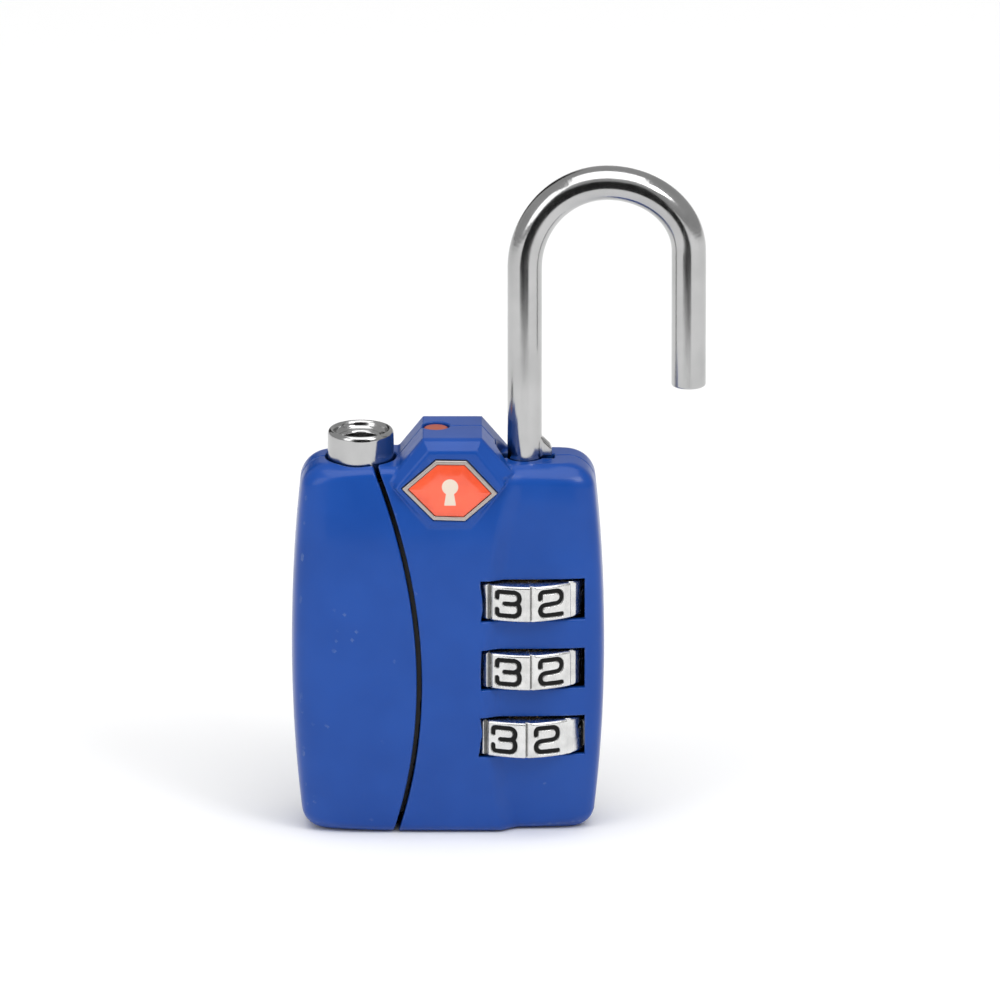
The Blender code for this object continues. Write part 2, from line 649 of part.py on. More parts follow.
def button_cup():
    """The button: a rounded cup whose dish leads into the bore for the shackle's toe."""
    top, low, radius, edge = BUTTON_TOP_Z, BUTTON_FOOT_Z, BUTTON_R, CUP_EDGE_R
    socket_r = STEM_R + 0.1
    profile = [(0, low + 1.2), (socket_r, low + 1.2), (socket_r, low), (radius - 0.2, low)]
    profile += [(radius, low + 0.2), (radius, top - edge)]
    for angle in (0.5, 1.05, math.pi / 2):
        profile.append((radius - edge * (1 - math.cos(angle)), top - edge * (1 - math.sin(angle))))
    profile += [(radius - 0.95, top - 0.25), (TOE_BORE_R + 0.2, top - 0.85), (TOE_BORE_R, top - 1.05)]
    profile += [(TOE_BORE_R, top - TOE_BORE_DEPTH), (0, top - TOE_BORE_DEPTH)]
    return lathe("button_cup", profile, BUTTON_X, 0, 32)


def button_stem():
    """The stem under the cup, ending in the wedge that drives the latch bar."""
    item = cylinder("button_stem", STEM_R, STEM_FOOT_Z, BUTTON_FOOT_Z + 1.0, BUTTON_X, 0, 16)
    join(item, cylinder("collar", 1.1, STEM_FOOT_Z, BUTTON_FOOT_Z - 0.2, BUTTON_X, 0, 20))
    low, top = WEDGE_LOW_Z, WEDGE_TOP_Z
    face = [WEDGE_X + WEDGE_SLOPE * (z - LATCH_LOW_Z) for z in (low, top)]
    wedge = ((WEDGE_BACK_X, low), (face[0], low), (face[1], top), (WEDGE_BACK_X, top))
    return join(item, prism("wedge", wedge, -SPINE_HALF, SPINE_HALF))


def button_bush():
    """The guide plate under the button's spring."""
    profile = ((1.25, 30.7), (3.2, 30.7), (3.2, 31.3), (1.25, 31.3))
    return lathe("button_bush", profile, BUTTON_X, 0, 24)


def latch_bar():
    """Arm from the wedge, ring plate round the leg, spine, and one finger for each dial."""
    low, top = LATCH_LOW_Z, LATCH_TOP_Z
    start = [WEDGE_X + GAP + WEDGE_SLOPE * (z - LATCH_LOW_Z) for z in (low, top)]
    inside = PLATE_LEFT_X + 0.8
    arm = ((start[0], low), (inside, low), (inside, top), (start[1], top))
    item = prism("latch_bar", arm, -SPINE_HALF, SPINE_HALF)
    join(item, box("plate", (PLATE_LEFT_X, -PLATE_HALF, low), (PLATE_RIGHT_X, PLATE_HALF, top)))
    hole_half = LEG_R + 0.2
    cut(item, box("leg_hole", (PLATE_LEFT_X + 1.2, -hole_half, low - 1), (LEG_X + 1.05, hole_half, top + 1)))
    left, right, half = SPINE_LEFT_X, SPINE_RIGHT_X, SPINE_HALF
    join(item, box("spine", (left, -half, SPINE_FOOT_Z), (right, half, low + 0.3)))
    for z in DIAL_Z:
        foot, head = z + FLANGE_LOW + 0.05, z + FLANGE_HIGH - 0.05
        join(item, box("finger", (right - 0.4, -FINGER_HALF, foot), (FINGER_TIP_X, FINGER_HALF, head)))
    return item


def latch_spring():
    """A small spring between the ring plate and the end of its pocket."""
    item = spring("latch_spring", 0.68, 0.16, -1.2, 1.2, 4)
    turned(item, "Y", 90)
    item.data.transform(Matrix.Translation((10.85, 0, 28.1)))
    return item


def lock_shell():
    """The fixed sleeve that the plug turns in."""
    top = PLUG_TOP_Z
    profile = ((PLUG_R + 0.1, 0.1), (SHELL_R, 0.1), (SHELL_R, top), (PLUG_R + 0.1, top))
    return lathe("lock_shell", profile, KEY_X, 0, 28)


def key_plug():
    """The turning core with its keyway, wafer slots and the thread for the cam screw."""
    item = cylinder("key_plug", PLUG_R, 0.2, PLUG_TOP_Z, KEY_X, 0, 28)
    cut(item, box("keyway", (KEY_X - 0.3, -1.3, -1), (KEY_X + 0.3, 1.3, KEYWAY_TOP_Z)))
    cut(item, box("warding", (KEY_X - 0.6, 0.2, -1), (KEY_X, 0.7, KEYWAY_TOP_Z)))
    cut(item, cylinder("thread", 0.6, KEYWAY_TOP_Z + 0.7, PLUG_TOP_Z + 1, KEY_X, 0, 16))
    for z in WAFER_Z:
        cut(item, box("slot", (KEY_X + 0.55, -0.85, z), (KEY_X + 2.5, 0.85, z + 0.9)))
    return item


def wafer(name, z):
    """One sliding leaf of the inspection lock, at rest in its slot."""
    return box(name, (KEY_X + 0.7, -0.7, z + 0.15), (KEY_X + 1.55, 0.7, z + 0.75))


def key_cam():
    """A disc on the plug with the arm that reaches for the latch spine."""
    item = cylinder("key_cam", 1.7, CAM_LOW_Z, CAM_TOP_Z, KEY_X, 0, 24)
    join(item, box("arm", (KEY_X - 0.7, -CAM_REACH, CAM_LOW_Z), (KEY_X + 0.7, 0, CAM_TOP_Z)))
    return cut(item, cylinder("cam_hole", 0.62, CAM_LOW_Z - 1, CAM_TOP_Z + 1, KEY_X, 0, 16))


def cam_screw():
    """The screw that holds the cam on the plug."""
    seat = CAM_TOP_Z + GAP
    top = seat + 0.7
    profile = [(0, 10.0), (0.5, 10.0), (0.5, seat), (1.15, seat), (1.15, top - 0.15), (1.0, top), (0, top)]
    item = lathe("cam_screw", profile, KEY_X, 0, 16)
    return cut(item, box("slot", (KEY_X - 2, -GAP, top - 0.3), (KEY_X + 2, GAP, top + 1)))


def alert_pin():
    """The indicator that rises through the block after an inspection."""
    foot, low, top = ALERT_FOOT_Z, ALERT_COLLAR_Z, ALERT_TOP_Z
    profile = [(0, foot), (0.6, foot), (0.6, low), (ALERT_COLLAR_R, low), (ALERT_COLLAR_R, low + 0.7)]
    profile += [(ALERT_R, low + 0.7), (ALERT_R, top - 0.15), (ALERT_R - 0.15, top), (0, top)]
    return lathe("alert_pin", profile, ALERT_X, SEAM_Y, 24)


def cover_screw(name, x, z):
    """A cross-slotted screw whose head sits in the back cover."""
    head = surface_y(x, z, 1) - SCREW_SUNK
    seat = head - SCREW_HEAD_THICK
    profile = [(0, SCREW_TIP_Y), (SCREW_R, SCREW_TIP_Y), (SCREW_R, seat), (SCREW_HEAD_R, seat)]
    profile += [(SCREW_HEAD_R, head - 0.15), (SCREW_HEAD_R - 0.2, head), (0, head)]
    item = lathe(name, profile, 0, 0, 20)
    for across, along in ((SLOT_LENGTH, SLOT_HALF), (SLOT_HALF, SLOT_LENGTH)):
        cut(item, box("slot", (-across, -along, head - 0.5), (across, along, head + 1)))
    turned(item, "X", -90)
    item.data.transform(Matrix.Translation((x, 0, z)))
    return item


# ---------------------------------------------------------------- assembly


def axis_empty(name, place, parent=None):
    """An empty on a joint's axis, to carry the pieces that move with it."""
    made = bpy.data.objects.new(name, None)
    made.empty_display_size = 2 * MM
    bpy.context.scene.collection.objects.link(made)
    made.parent = parent
    made.location = Vector(place) * MM
    if parent:
        made.location -= world_place(parent)
    return made


def world_place(item):
    place = Vector((0, 0, 0))
    while item:
        place += item.location
        item = item.parent
    return place


def finish(item, slot, carrier=None):
    """Scales a piece to metres, gives it its material and puts its origin on its carrier's axis."""
    item.data.transform(Matrix.Scale(MM, 4))
    item.data.materials.clear()
    item.data.materials.append(material(slot))
    if carrier:
        item.data.transform(Matrix.Translation(-world_place(carrier)))
        item.parent = carrier
    return item


def build_housing():
    finish(front_cover(), "blue_paint")
    finish(left_panel(), "blue_paint")
    finish(rear_cover(), "blue_paint")
    finish(emblem_plate(), "emblem_rim")
    finish(emblem_inlay(), "emblem_enamel")
    finish(spindle_tube(), "steel")
    finish(spacer_ring("spacer_low", DIAL_Z[2] + 3.45, DIAL_Z[1] - 1.95), "brass")
    finish(spacer_ring("spacer_high", DIAL_Z[1] + 3.45, DIAL_Z[0] - 1.95), "brass")
    finish(detent_leaf(), "spring_steel")
    finish(button_bush(), "brass")
    finish(lock_shell(), "steel")
    for number, (x, z) in enumerate(SCREWS, 1):
        finish(cover_screw(f"cover_screw_{number}", x, z), "steel")


def build_shackle():
    slide = axis_empty("shackle_slide_axis", (LEG_X, 0, TOP_Z))
    swing = axis_empty("shackle_swing_axis", (LEG_X, 0, TOP_Z), slide)
    finish(spring_cap(), "steel", slide)
    heel = spring("heel_spring", 1.22, 0.24, 5.5, 16.0, 6, LEG_X, 0)
    finish(heel, "spring_steel", slide)
    finish(shackle(), "chrome", swing)
    finish(heel_retainer(), "steel", swing)


def build_button():
    push = axis_empty("push_button_axis", (BUTTON_X, 0, BUTTON_TOP_Z))
    finish(button_cup(), "chrome", push)
    finish(button_stem(), "steel", push)
    coil = spring("button_spring", 2.0, 0.16, 31.5, 34.1, 4, BUTTON_X, 0)
    finish(coil, "spring_steel", push)
    latch = axis_empty("latch_slide_axis", (0, 0, LATCH_LOW_Z))
    finish(latch_bar(), "steel", latch)
    finish(latch_spring(), "spring_steel", latch)


def build_dials():
    for name, z in zip(DIAL_NAMES, DIAL_Z):
        axis = axis_empty(f"dial_{name}_axis", (LEG_X, 0, z))
        finish(number_wheel(f"number_wheel_{name}", z), "dial_chrome", axis)
        finish(clutch_sleeve(f"clutch_sleeve_{name}", z), "brass", axis)


def build_inspection_lock():
    axis = axis_empty("key_turn_axis", (KEY_X, 0, 0))
    finish(key_plug(), "brass", axis)
    for number, z in enumerate(WAFER_Z, 1):
        finish(wafer(f"wafer_{number}", z), "brass", axis)
    finish(key_cam(), "steel", axis)
    finish(cam_screw(), "steel", axis)


def build_alert():
    axis = axis_empty("alert_pin_axis", (ALERT_X, SEAM_Y, ALERT_TOP_Z))
    finish(alert_pin(), "alert_orange", axis)
    coil = spring("alert_spring", 1.15, 0.16, 33.5, 35.75, 4, ALERT_X, SEAM_Y)
    finish(coil, "spring_steel", axis)


def main():
    clear_scene()
    build_housing()
    build_shackle()
    build_button()
    build_dials()
    build_inspection_lock()
    build_alert()
    bpy.context.view_layer.update()


main()
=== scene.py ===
"""Looks of the three-dial luggage padlock.

Each visible piece is described by a distance field in millimetres, skinned to a fine mesh in
metres, and given a node-based finish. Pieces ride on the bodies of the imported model.
"""

import json
import math

import bpy
import numpy as np
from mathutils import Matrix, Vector


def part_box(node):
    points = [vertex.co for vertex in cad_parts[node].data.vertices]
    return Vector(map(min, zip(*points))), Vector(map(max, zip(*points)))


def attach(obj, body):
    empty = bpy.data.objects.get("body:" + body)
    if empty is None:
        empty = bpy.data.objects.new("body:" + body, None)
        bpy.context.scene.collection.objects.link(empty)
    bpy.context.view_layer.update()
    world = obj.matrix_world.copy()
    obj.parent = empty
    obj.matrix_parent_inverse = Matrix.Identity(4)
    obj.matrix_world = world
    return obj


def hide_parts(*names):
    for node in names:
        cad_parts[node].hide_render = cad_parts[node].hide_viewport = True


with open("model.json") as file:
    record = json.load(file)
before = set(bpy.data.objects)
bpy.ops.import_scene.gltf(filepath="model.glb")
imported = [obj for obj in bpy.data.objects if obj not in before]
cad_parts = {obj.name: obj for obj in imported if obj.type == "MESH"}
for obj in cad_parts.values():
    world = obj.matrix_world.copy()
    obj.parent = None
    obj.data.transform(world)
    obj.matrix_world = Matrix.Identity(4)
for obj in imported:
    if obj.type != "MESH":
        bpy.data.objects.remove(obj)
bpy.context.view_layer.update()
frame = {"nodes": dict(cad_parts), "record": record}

MM = 0.001


def box_mm(node):
    """A CAD node's lowest and highest corners in millimetres."""
    low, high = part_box(node)
    return np.array(low) / MM, np.array(high) / MM


# ---------------------------------------------------------------- dimensions

BUTTON_LOW, BUTTON_HIGH = box_mm("button_cup")
ALERT_LOW, ALERT_HIGH = box_mm("alert_pin")
SHACKLE_LOW, SHACKLE_HIGH = box_mm("shackle")
PLUG_LOW, PLUG_HIGH = box_mm("key_plug")
SHELL_LOW, SHELL_HIGH = box_mm("lock_shell")

# Housing
TOP_Z = 36.75
HALF_WIDTH, WIDEST_Z = 15.0, 18.5
HALF_DEPTH, DEEPEST_Z = 6.15, 17.5
TOP_HALF_DEPTH, BASE_HALF_DEPTH = 4.3, 3.75
SECTION_POWER, DIAL_SIDE_POWER = 5.0, 1.5
TOP_CORNER, BASE_CORNER = 2.4, 2.0
SEAM_Y, SEAM_GAP = 0.2, 0.1
SKIN, GROOVE = 1.6, 0.5
FRONT_TOP_EDGE, DIAL_TOP_EDGE, BASE_EDGE = 0.8, 1.7, 0.9
SIDE_NARROWING, SIDE_REACH = 1.1, 18.0
CREASE_X, CREASE_BEND, CREASE_Z, CREASE_WIDTH = 3.05, 0.0068, 16.5, 2.0
GROOVE_X, GROOVE_BEND, GROOVE_Z = -2.75, -0.0094, 15.6
OPEN_Z = 50.0  # beyond every face, for cuts that run out of a piece

# Raised block and emblem
HOUSING_HEX = ((-2.4, 39.7), (3.25, 39.7), (6.25, 36.2), (2.4, 30.9), (-2.1, 30.9), (-5.75, 35.5))
FACE_HEX = ((-1.85, 38.75), (2.75, 38.75), (5.4, 35.3), (2.05, 31.3), (-1.8, 31.3), (-5.0, 35.0))
EMBLEM_HEX = ((-1.15, 37.9), (1.8, 37.85), (4.75, 34.6), (1.65, 31.85), (-1.4, 31.95), (-4.4, 35.05))
HOUSING_FRONT_Y, FACE_HEX_Y, HOUSING_BACK_Y = -4.2, -5.35, 3.6
BACK_BEVEL_IN, BACK_BEVEL_DEPTH = 0.6, 0.7
RIM_PROUD, RIM_SUNK, RIM_WIDTH = 0.2, 0.35, 0.38
ENAMEL_INSET, DOME_HEIGHT = 0.42, 0.24
KEYHOLE_HEAD_R, KEYHOLE_HEAD_RISE, KEYHOLE_WAIST, KEYHOLE_FOOT = 0.78, 0.45, 0.34, 1.4

# Shackle
LEG_X, LEG_R, LEG_SPACING = 7.35, 1.65, 15.7
PIN_R, PIN_FOOT_Z, LEG_FOOT_Z = 0.85, 17.7, 28.9
LEG_SPRING_Z, TOE_SPRING_Z, CROWN_Z, TOE_Z = 55.5, 57.2, 64.0, 43.8
SHACKLE_TRAVEL, FLAT_DEPTH = 7.3, 0.9
FIN_REACH, FIN_WIDTH, FIN_FOOT_Z, FIN_TOP_Z = 2.6, 1.2, 36.9, 38.7
NOTCH_LOW_Z, NOTCH_TOP_Z = 27.4 + SHACKLE_TRAVEL, 28.8 + SHACKLE_TRAVEL

# Number wheels and the spaces round them
DIAL_NAMES = ("top", "middle", "bottom")
DIAL_Z = tuple(float(sum(box_mm(f"number_wheel_{name}"))[2] / 2) for name in DIAL_NAMES)
DIAL_TURN = (4.3, 4.3, 0.8)
DIAL_R, DIAL_BORE_R, DIAL_THICK, DIGITS = 6.9, 3.6, 3.55, 10
DIGIT_HALF_WIDTH, DIGIT_HALF_HEIGHT, STROKE, ENGRAVED = 1.1, 1.18, 0.235, 0.17
NOTCH_DEPTH, NOTCH_SLOPE = 0.36, 0.5
SLOT_R, SLOT_HEIGHT, WEB_R = 7.12, 4.0, 4.8
WINDOW_RIGHT_X, WINDOW_FLOOR_Y = 13.1, -3.4
FLANGE_LOW, FLANGE_HIGH = 2.45, 3.25
KEYWAY_NEAR, KEYWAY_FAR, KEYWAY_HALF = 3.0, 4.25, 0.7
LEG_HOLE_R, LEG_HOLE_FOOT_Z = LEG_R + 0.15, 27.0
SPINDLE_ROOM_R, SPINDLE_ROOM_FOOT_Z, SPINDLE_ROOM_TOP_Z = 2.5, 4.45, 27.45
SPINDLE_FLANGE_R, SPINDLE_FLANGE_LOW_Z, SPINDLE_FLANGE_TOP_Z = 3.6, 6.7, 8.6

# Rooms for the works, as the lowest and highest corners of each
LATCH_ROOM = ((-7.8, -1.35, 27.4), (4, 1.35, 28.8))
PLATE_ROOM = ((3, -2.95, 27.4), (10.65, 2.95, 28.8))
SPINE_ROOM = ((-3.25, -1.35, 12.2), (0.0, 1.35, 28.0))
SPRING_ROOM = ((9.0, -1.1, 27.1), (13.5, 1.1, 29.1))
WEDGE_ROOM = ((-9.6, -1.4, 24.9), (-4.4, 1.4, 30.6))
DETENT_ROOM = ((-0.55, 2.3, 8.05), (1.3, 4.7, 25.95))
FINGER_LEFT_X, FINGER_RIGHT_X, FINGER_HALF, FINGER_GAP = -1.2, 3.55, 0.85, 0.25

# Push button
BUTTON_X = float((BUTTON_LOW[0] + BUTTON_HIGH[0]) / 2)
BUTTON_R, BUTTON_HOLE_R, BUTTON_HOLE_FOOT_Z = 3.175, 3.4, 30.5
DISH_R, DISH_DEPTH, TOE_BORE_R, TOE_BORE_DEPTH = 2.45, 1.0, 1.85, 3.4
SOCKET_R, SOCKET_DEPTH = 0.85, 1.2

# Inspection lock
KEY_X = float((SHELL_LOW[0] + SHELL_HIGH[0]) / 2)
SHELL_R, SHELL_BORE_R, SHELL_ROOM_R, SHELL_ROOM_TOP_Z = 2.45, 1.85, 2.55, 12.2
PLUG_R, SLIT_HALF, SLIT_REACH, SLIT_TOP_Z = 1.75, 0.3, 1.3, 9.0
WAFER_Z, WAFER_THICK, WAFER_HALF = (2.5, 4.1, 5.7, 7.3), 0.9, 0.85
CAM_ROOM_R, CAM_ROOM_FOOT_Z, CAM_ROOM_TOP_Z = 3.85, 12.0, 14.8

# Alert pin
ALERT_X = float((ALERT_LOW[0] + ALERT_HIGH[0]) / 2)
ALERT_R, ALERT_STEM_R, ALERT_COLLAR_R = 1.175, 0.6, 1.65
ALERT_HOLE_R, ALERT_ROOM_R, ALERT_ROOM_FOOT_Z, ALERT_ROOM_TOP_Z = ALERT_R + 0.13, 1.95, 33.3, 38.3

# Cover screws, as (x, z)
SCREWS = ((-11.2, 22.5), (-11.4, 4.8), (11.4, 32.0), (11.4, 4.2))
SCREW_HEAD_R, SCREW_HEAD_THICK, SCREW_R = 1.4, 0.95, 0.75
SCREW_HOLE_R, SCREW_HOLE_TIP_Y, SCREW_RECESS_R, SCREW_RECESS_DEPTH = 0.85, -1.7, 1.55, 1.7
CROSS_HALF, CROSS_REACH, CROSS_DEPTH = 0.16, 0.95, 0.55

# The camera, in metres
CAMERA_ELEVATION, CAMERA_DISTANCE, VIEW_WIDTH = math.radians(17.0), 2.5, 0.0959

# Mesh spacing of the skins
COARSE = 1.0
COVER_STEP, WHEEL_STEP, BAR_STEP, SMALL_STEP = (s * COARSE for s in (0.14, 0.085, 0.13, 0.08))


# ---------------------------------------------------------------- distance fields


def smooth(value):
    share = np.clip(value, 0.0, 1.0)
    return share * share * (3 - 2 * share)


def round_both(a, b, radius):
    """Where both fields hold, with the edge between them rounded to the radius."""
    outside = np.hypot(np.maximum(a + radius, 0), np.maximum(b + radius, 0))
    return np.minimum(np.maximum(a, b), -radius) + outside


def round_either(a, b, radius):
    """Where either field holds, with the inner corner between them filled to the radius."""
    return -round_both(-a, -b, radius)


def carve(a, b, radius=0.15):
    """The first field without the second, with a rounded lip."""
    return round_both(a, -b, radius)


def block(x, y, z, low, high):
    """An axis-aligned box."""
    across = np.maximum(low[0] - x, x - high[0])
    deep = np.maximum(low[1] - y, y - high[1])
    tall = np.maximum(low[2] - z, z - high[2])
    return np.maximum(np.maximum(across, deep), tall)


def drum(radial, along, radius, low, high):
    """A cylinder from a distance to its axis and a place along it."""
    return np.maximum(radial - radius, np.maximum(low - along, along - high))


def polygon(x, z, corners):
    """A convex outline in X and Z: negative inside."""
    area = sum(a[0] * b[1] - b[0] * a[1] for a, b in zip(corners, corners[1:] + corners[:1]))
    turn = 1.0 if area > 0 else -1.0
    sides = None
    for (x0, z0), (x1, z1) in zip(corners, corners[1:] + corners[:1]):
        length = math.hypot(x1 - x0, z1 - z0)
        side = turn * ((z1 - z0) * (x - x0) - (x1 - x0) * (z - z0)) / length
        sides = side if sides is None else np.maximum(sides, side)
    return sides


def segment(u, v, start, end):
    """Distance in a plane to a straight stroke."""
    along = (end[0] - start[0], end[1] - start[1])
    length = max(along[0] ** 2 + along[1] ** 2, 1e-12)
    share = np.clip(((u - start[0]) * along[0] + (v - start[1]) * along[1]) / length, 0, 1)
    return np.hypot(u - start[0] - share * along[0], v - start[1] - share * along[1])


# ---------------------------------------------------------------- skinning


CORNERS = [(i, j, k) for i in (0, 1) for j in (0, 1) for k in (0, 1)]
EDGES = [
    (a, b)
    for a in range(8)
    for b in range(a)
    if sum(abs(p - q) for p, q in zip(CORNERS[a], CORNERS[b])) == 1
]


def sampled(field, axes):
    """The field's values over a grid, worked out in slabs to save memory."""
    x, y, z = axes
    values = np.empty((len(x), len(y), len(z)), np.float32)
    for start in range(0, len(z), 48):
        slab = z[start:start + 48]
        values[:, :, start:start + 48] = field(x[:, None, None], y[None, :, None], slab[None, None, :])
    return values


def cell_points(values):
    """One point for each grid cell that the surface crosses, and each cell's number."""
    inside = values < 0
    shape = [n - 1 for n in values.shape]
    full = np.zeros(shape, np.uint8)
    for i, j, k in CORNERS:
        full += inside[i:i + shape[0], j:j + shape[1], k:k + shape[2]]
    crossed = (full > 0) & (full < 8)
    cells = np.argwhere(crossed)
    numbers = np.full(shape, -1, np.int32)
    numbers[crossed] = np.arange(len(cells))
    at = [values[tuple((cells + corner).T)] for corner in CORNERS]
    total = np.zeros((len(cells), 3))
    count = np.zeros(len(cells))
    for a, b in EDGES:
        cut = (at[a] < 0) != (at[b] < 0)
        share = at[a][cut] / (at[a][cut] - at[b][cut])
        start, end = np.array(CORNERS[a]), np.array(CORNERS[b])
        total[cut] += start + share[:, None] * (end - start)
        count[cut] += 1
    return cells + total / count[:, None], numbers


def cell_faces(values, numbers):
    """A four-cornered face round each grid edge that the surface crosses."""
    inside = values < 0
    found = []
    for axis in range(3):
        low = [slice(1, -1)] * 3
        high = [slice(1, -1)] * 3
        low[axis], high[axis] = slice(None, -1), slice(1, None)
        here, there = inside[tuple(low)], inside[tuple(high)]
        places = np.argwhere(here != there)
        outward = here[tuple(places.T)]
        places += 1
        places[:, axis] -= 1
        first, second = (axis + 1) % 3, (axis + 2) % 3
        ring = []
        for step_a, step_b in ((1, 1), (0, 1), (0, 0), (1, 0)):
            cell = places.copy()
            cell[:, first] -= step_a
            cell[:, second] -= step_b
            ring.append(numbers[tuple(cell.T)])
        quads = np.stack(ring, 1)
        quads[~outward] = quads[~outward][:, ::-1]
        found.append(quads)
    return np.concatenate(found)


def slope(field, points, reach=0.02):
    """The field's gradient at each point."""
    found = np.empty_like(points)
    for axis in range(3):
        ahead, behind = points.copy(), points.copy()
        ahead[:, axis] += reach
        behind[:, axis] -= reach
        found[:, axis] = (field(*ahead.T) - field(*behind.T)) / (2 * reach)
    return found


def skin(name, field, low, high, step):
    """A mesh object over the field's zero surface, with points pulled exactly on to it."""
    low = np.array(low, float) - 3 * step
    high = np.array(high, float) + 3 * step
    axes = [low[k] + step * np.arange(int(math.ceil((high[k] - low[k]) / step)) + 1) for k in range(3)]
    values = sampled(field, axes)
    points, numbers = cell_points(values)
    quads = cell_faces(values, numbers)
    points = low + step * points
    for _ in range(2):
        gradient = slope(field, points)
        size = np.maximum((gradient**2).sum(1), 0.05)
        move = -field(*points.T)[:, None] * gradient / size[:, None]
        points += np.clip(move, -0.4 * step, 0.4 * step)
    normals = slope(field, points)
    normals /= np.maximum(np.linalg.norm(normals, axis=1), 1e-6)[:, None]
    mesh = bpy.data.meshes.new(name)
    mesh.vertices.add(len(points))
    mesh.vertices.foreach_set("co", (points * MM).ravel())
    mesh.loops.add(quads.size)
    mesh.loops.foreach_set("vertex_index", quads.ravel())
    mesh.polygons.add(len(quads))
    mesh.polygons.foreach_set("loop_start", np.arange(0, quads.size, 4))
    mesh.update(calc_edges=True)
    mesh.shade_smooth()
    mesh.normals_split_custom_set_from_vertices(normals)
    made = bpy.data.objects.new(name, mesh)
    bpy.context.scene.collection.objects.link(made)
    return made, points


def mark(piece, name, values):
    """Stores a value at each vertex for the piece's material to read."""
    layer = piece.data.attributes.new(name, "FLOAT", "POINT")
    layer.data.foreach_set("value", np.asarray(values, np.float32))


# ---------------------------------------------------------------- housing form


def half_width(z):
    return HALF_WIDTH - SIDE_NARROWING * ((z - WIDEST_Z) / SIDE_REACH) ** 2


def half_depth(z):
    above = np.maximum(z - DEEPEST_Z, 0) / (TOP_Z - DEEPEST_Z)
    below = np.maximum(DEEPEST_Z - z, 0) / DEEPEST_Z
    thinner_above = (HALF_DEPTH - TOP_HALF_DEPTH) * above**2
    thinner_below = (HALF_DEPTH - BASE_HALF_DEPTH) * below**2.6
    return HALF_DEPTH - thinner_above - thinner_below


def crease_x(z):
    return CREASE_X + CREASE_BEND * (z - CREASE_Z) ** 2


def groove_x(z):
    return GROOVE_X + GROOVE_BEND * (z - GROOVE_Z) ** 2


def recess(x, z):
    """How far the dial side of the front lies behind the full pillow shape."""
    depth = 0.7 + 0.4 * smooth((8.0 - z) / 8.0) - 0.4 * smooth((z - 28.0) / 8.0)
    return depth * smooth((x - crease_x(z)) / CREASE_WIDTH)


def pillow(x, y, z):
    """The body without the raised block: a bulging form with rounded top and base edges."""
    width = half_width(z)
    depth = half_depth(z) - recess(x, z) * smooth(-y / 1.5 + 0.5)
    across, deep = np.abs(x) / width, np.abs(y) / depth
    power = SECTION_POWER + DIAL_SIDE_POWER * smooth(x / 8.0)
    size = np.maximum(across**power + deep**power, 1e-9) ** (1 / power)
    steep_x = (across / size) ** (power - 1)
    steep_y = (deep / size) ** (power - 1)
    side = (size - 1) / np.hypot(steep_x / width, steep_y / depth)
    edge = FRONT_TOP_EDGE + (DIAL_TOP_EDGE - FRONT_TOP_EDGE) * smooth((x + 3) / 6)
    top_edge = edge + (TOP_CORNER - edge) * steep_x
    base_edge = BASE_EDGE + (BASE_CORNER - BASE_EDGE) * steep_x
    return round_both(round_both(side, z - TOP_Z, top_edge), -z, base_edge)


def raised_block(x, y, z):
    """The hexagonal block that carries the emblem, bevelled at the front and the back."""
    wide = polygon(x, z, HOUSING_HEX)
    face = polygon(x, z, FACE_HEX)
    forward = (HOUSING_FRONT_Y - y) / (HOUSING_FRONT_Y - FACE_HEX_Y)
    front_bevel = wide + (face - wide) * forward
    back_bevel = wide + BACK_BEVEL_IN * (y - HOUSING_BACK_Y) / BACK_BEVEL_DEPTH
    shape = round_both(wide, front_bevel * 0.72, 0.25)
    shape = round_both(shape, back_bevel * 0.76, 0.25)
    behind = y - HOUSING_BACK_Y - BACK_BEVEL_DEPTH
    return round_both(shape, np.maximum(FACE_HEX_Y - y, behind), 0.2)


def body_form(x, y, z):
    return round_either(pillow(x, y, z), raised_block(x, y, z), 0.25)


def wheel_spaces(x, y, z):
    """Slots, webs and windows for the wheels, with the hole for the shackle's leg."""
    radial = np.hypot(x - LEG_X, y)
    spaces = drum(radial, z, LEG_HOLE_R, LEG_HOLE_FOOT_Z, OPEN_Z)
    for radius, foot_z, top_z in (
        (SPINDLE_ROOM_R, SPINDLE_ROOM_FOOT_Z, SPINDLE_ROOM_TOP_Z),
        (SPINDLE_FLANGE_R, SPINDLE_FLANGE_LOW_Z, SPINDLE_FLANGE_TOP_Z),
        (WEB_R, DIAL_Z[2], SPINDLE_ROOM_TOP_Z),
    ):
        spaces = np.minimum(spaces, drum(radial, z, radius, foot_z, top_z))
    half = SLOT_HEIGHT / 2
    for middle in DIAL_Z:
        spaces = np.minimum(spaces, drum(radial, z, SLOT_R, middle - half, middle + half))
        left = crease_x(middle) + 0.1 + 2.2 * (crease_x(z) - crease_x(middle))
        opening = np.maximum(y - WINDOW_FLOOR_Y, x - WINDOW_RIGHT_X)
        opening = np.maximum(opening, np.abs(z - middle) - half)
        spaces = np.minimum(spaces, np.maximum(opening, left - x))
    return spaces


def latch_spaces(x, y, z):
    """Rooms for the latch bar, its spring, wedge and fingers, and for the detent leaf."""
    rooms = [LATCH_ROOM, PLATE_ROOM, SPINE_ROOM, SPRING_ROOM, WEDGE_ROOM, DETENT_ROOM]
    for middle in DIAL_Z:
        low, high = middle + FLANGE_LOW - FINGER_GAP, middle + FLANGE_HIGH + FINGER_GAP
        rooms.append(((FINGER_LEFT_X, -FINGER_HALF, low), (FINGER_RIGHT_X, FINGER_HALF, high)))
    spaces = block(x, y, z, *rooms[0])
    for low, high in rooms[1:]:
        spaces = np.minimum(spaces, block(x, y, z, low, high))
    return spaces


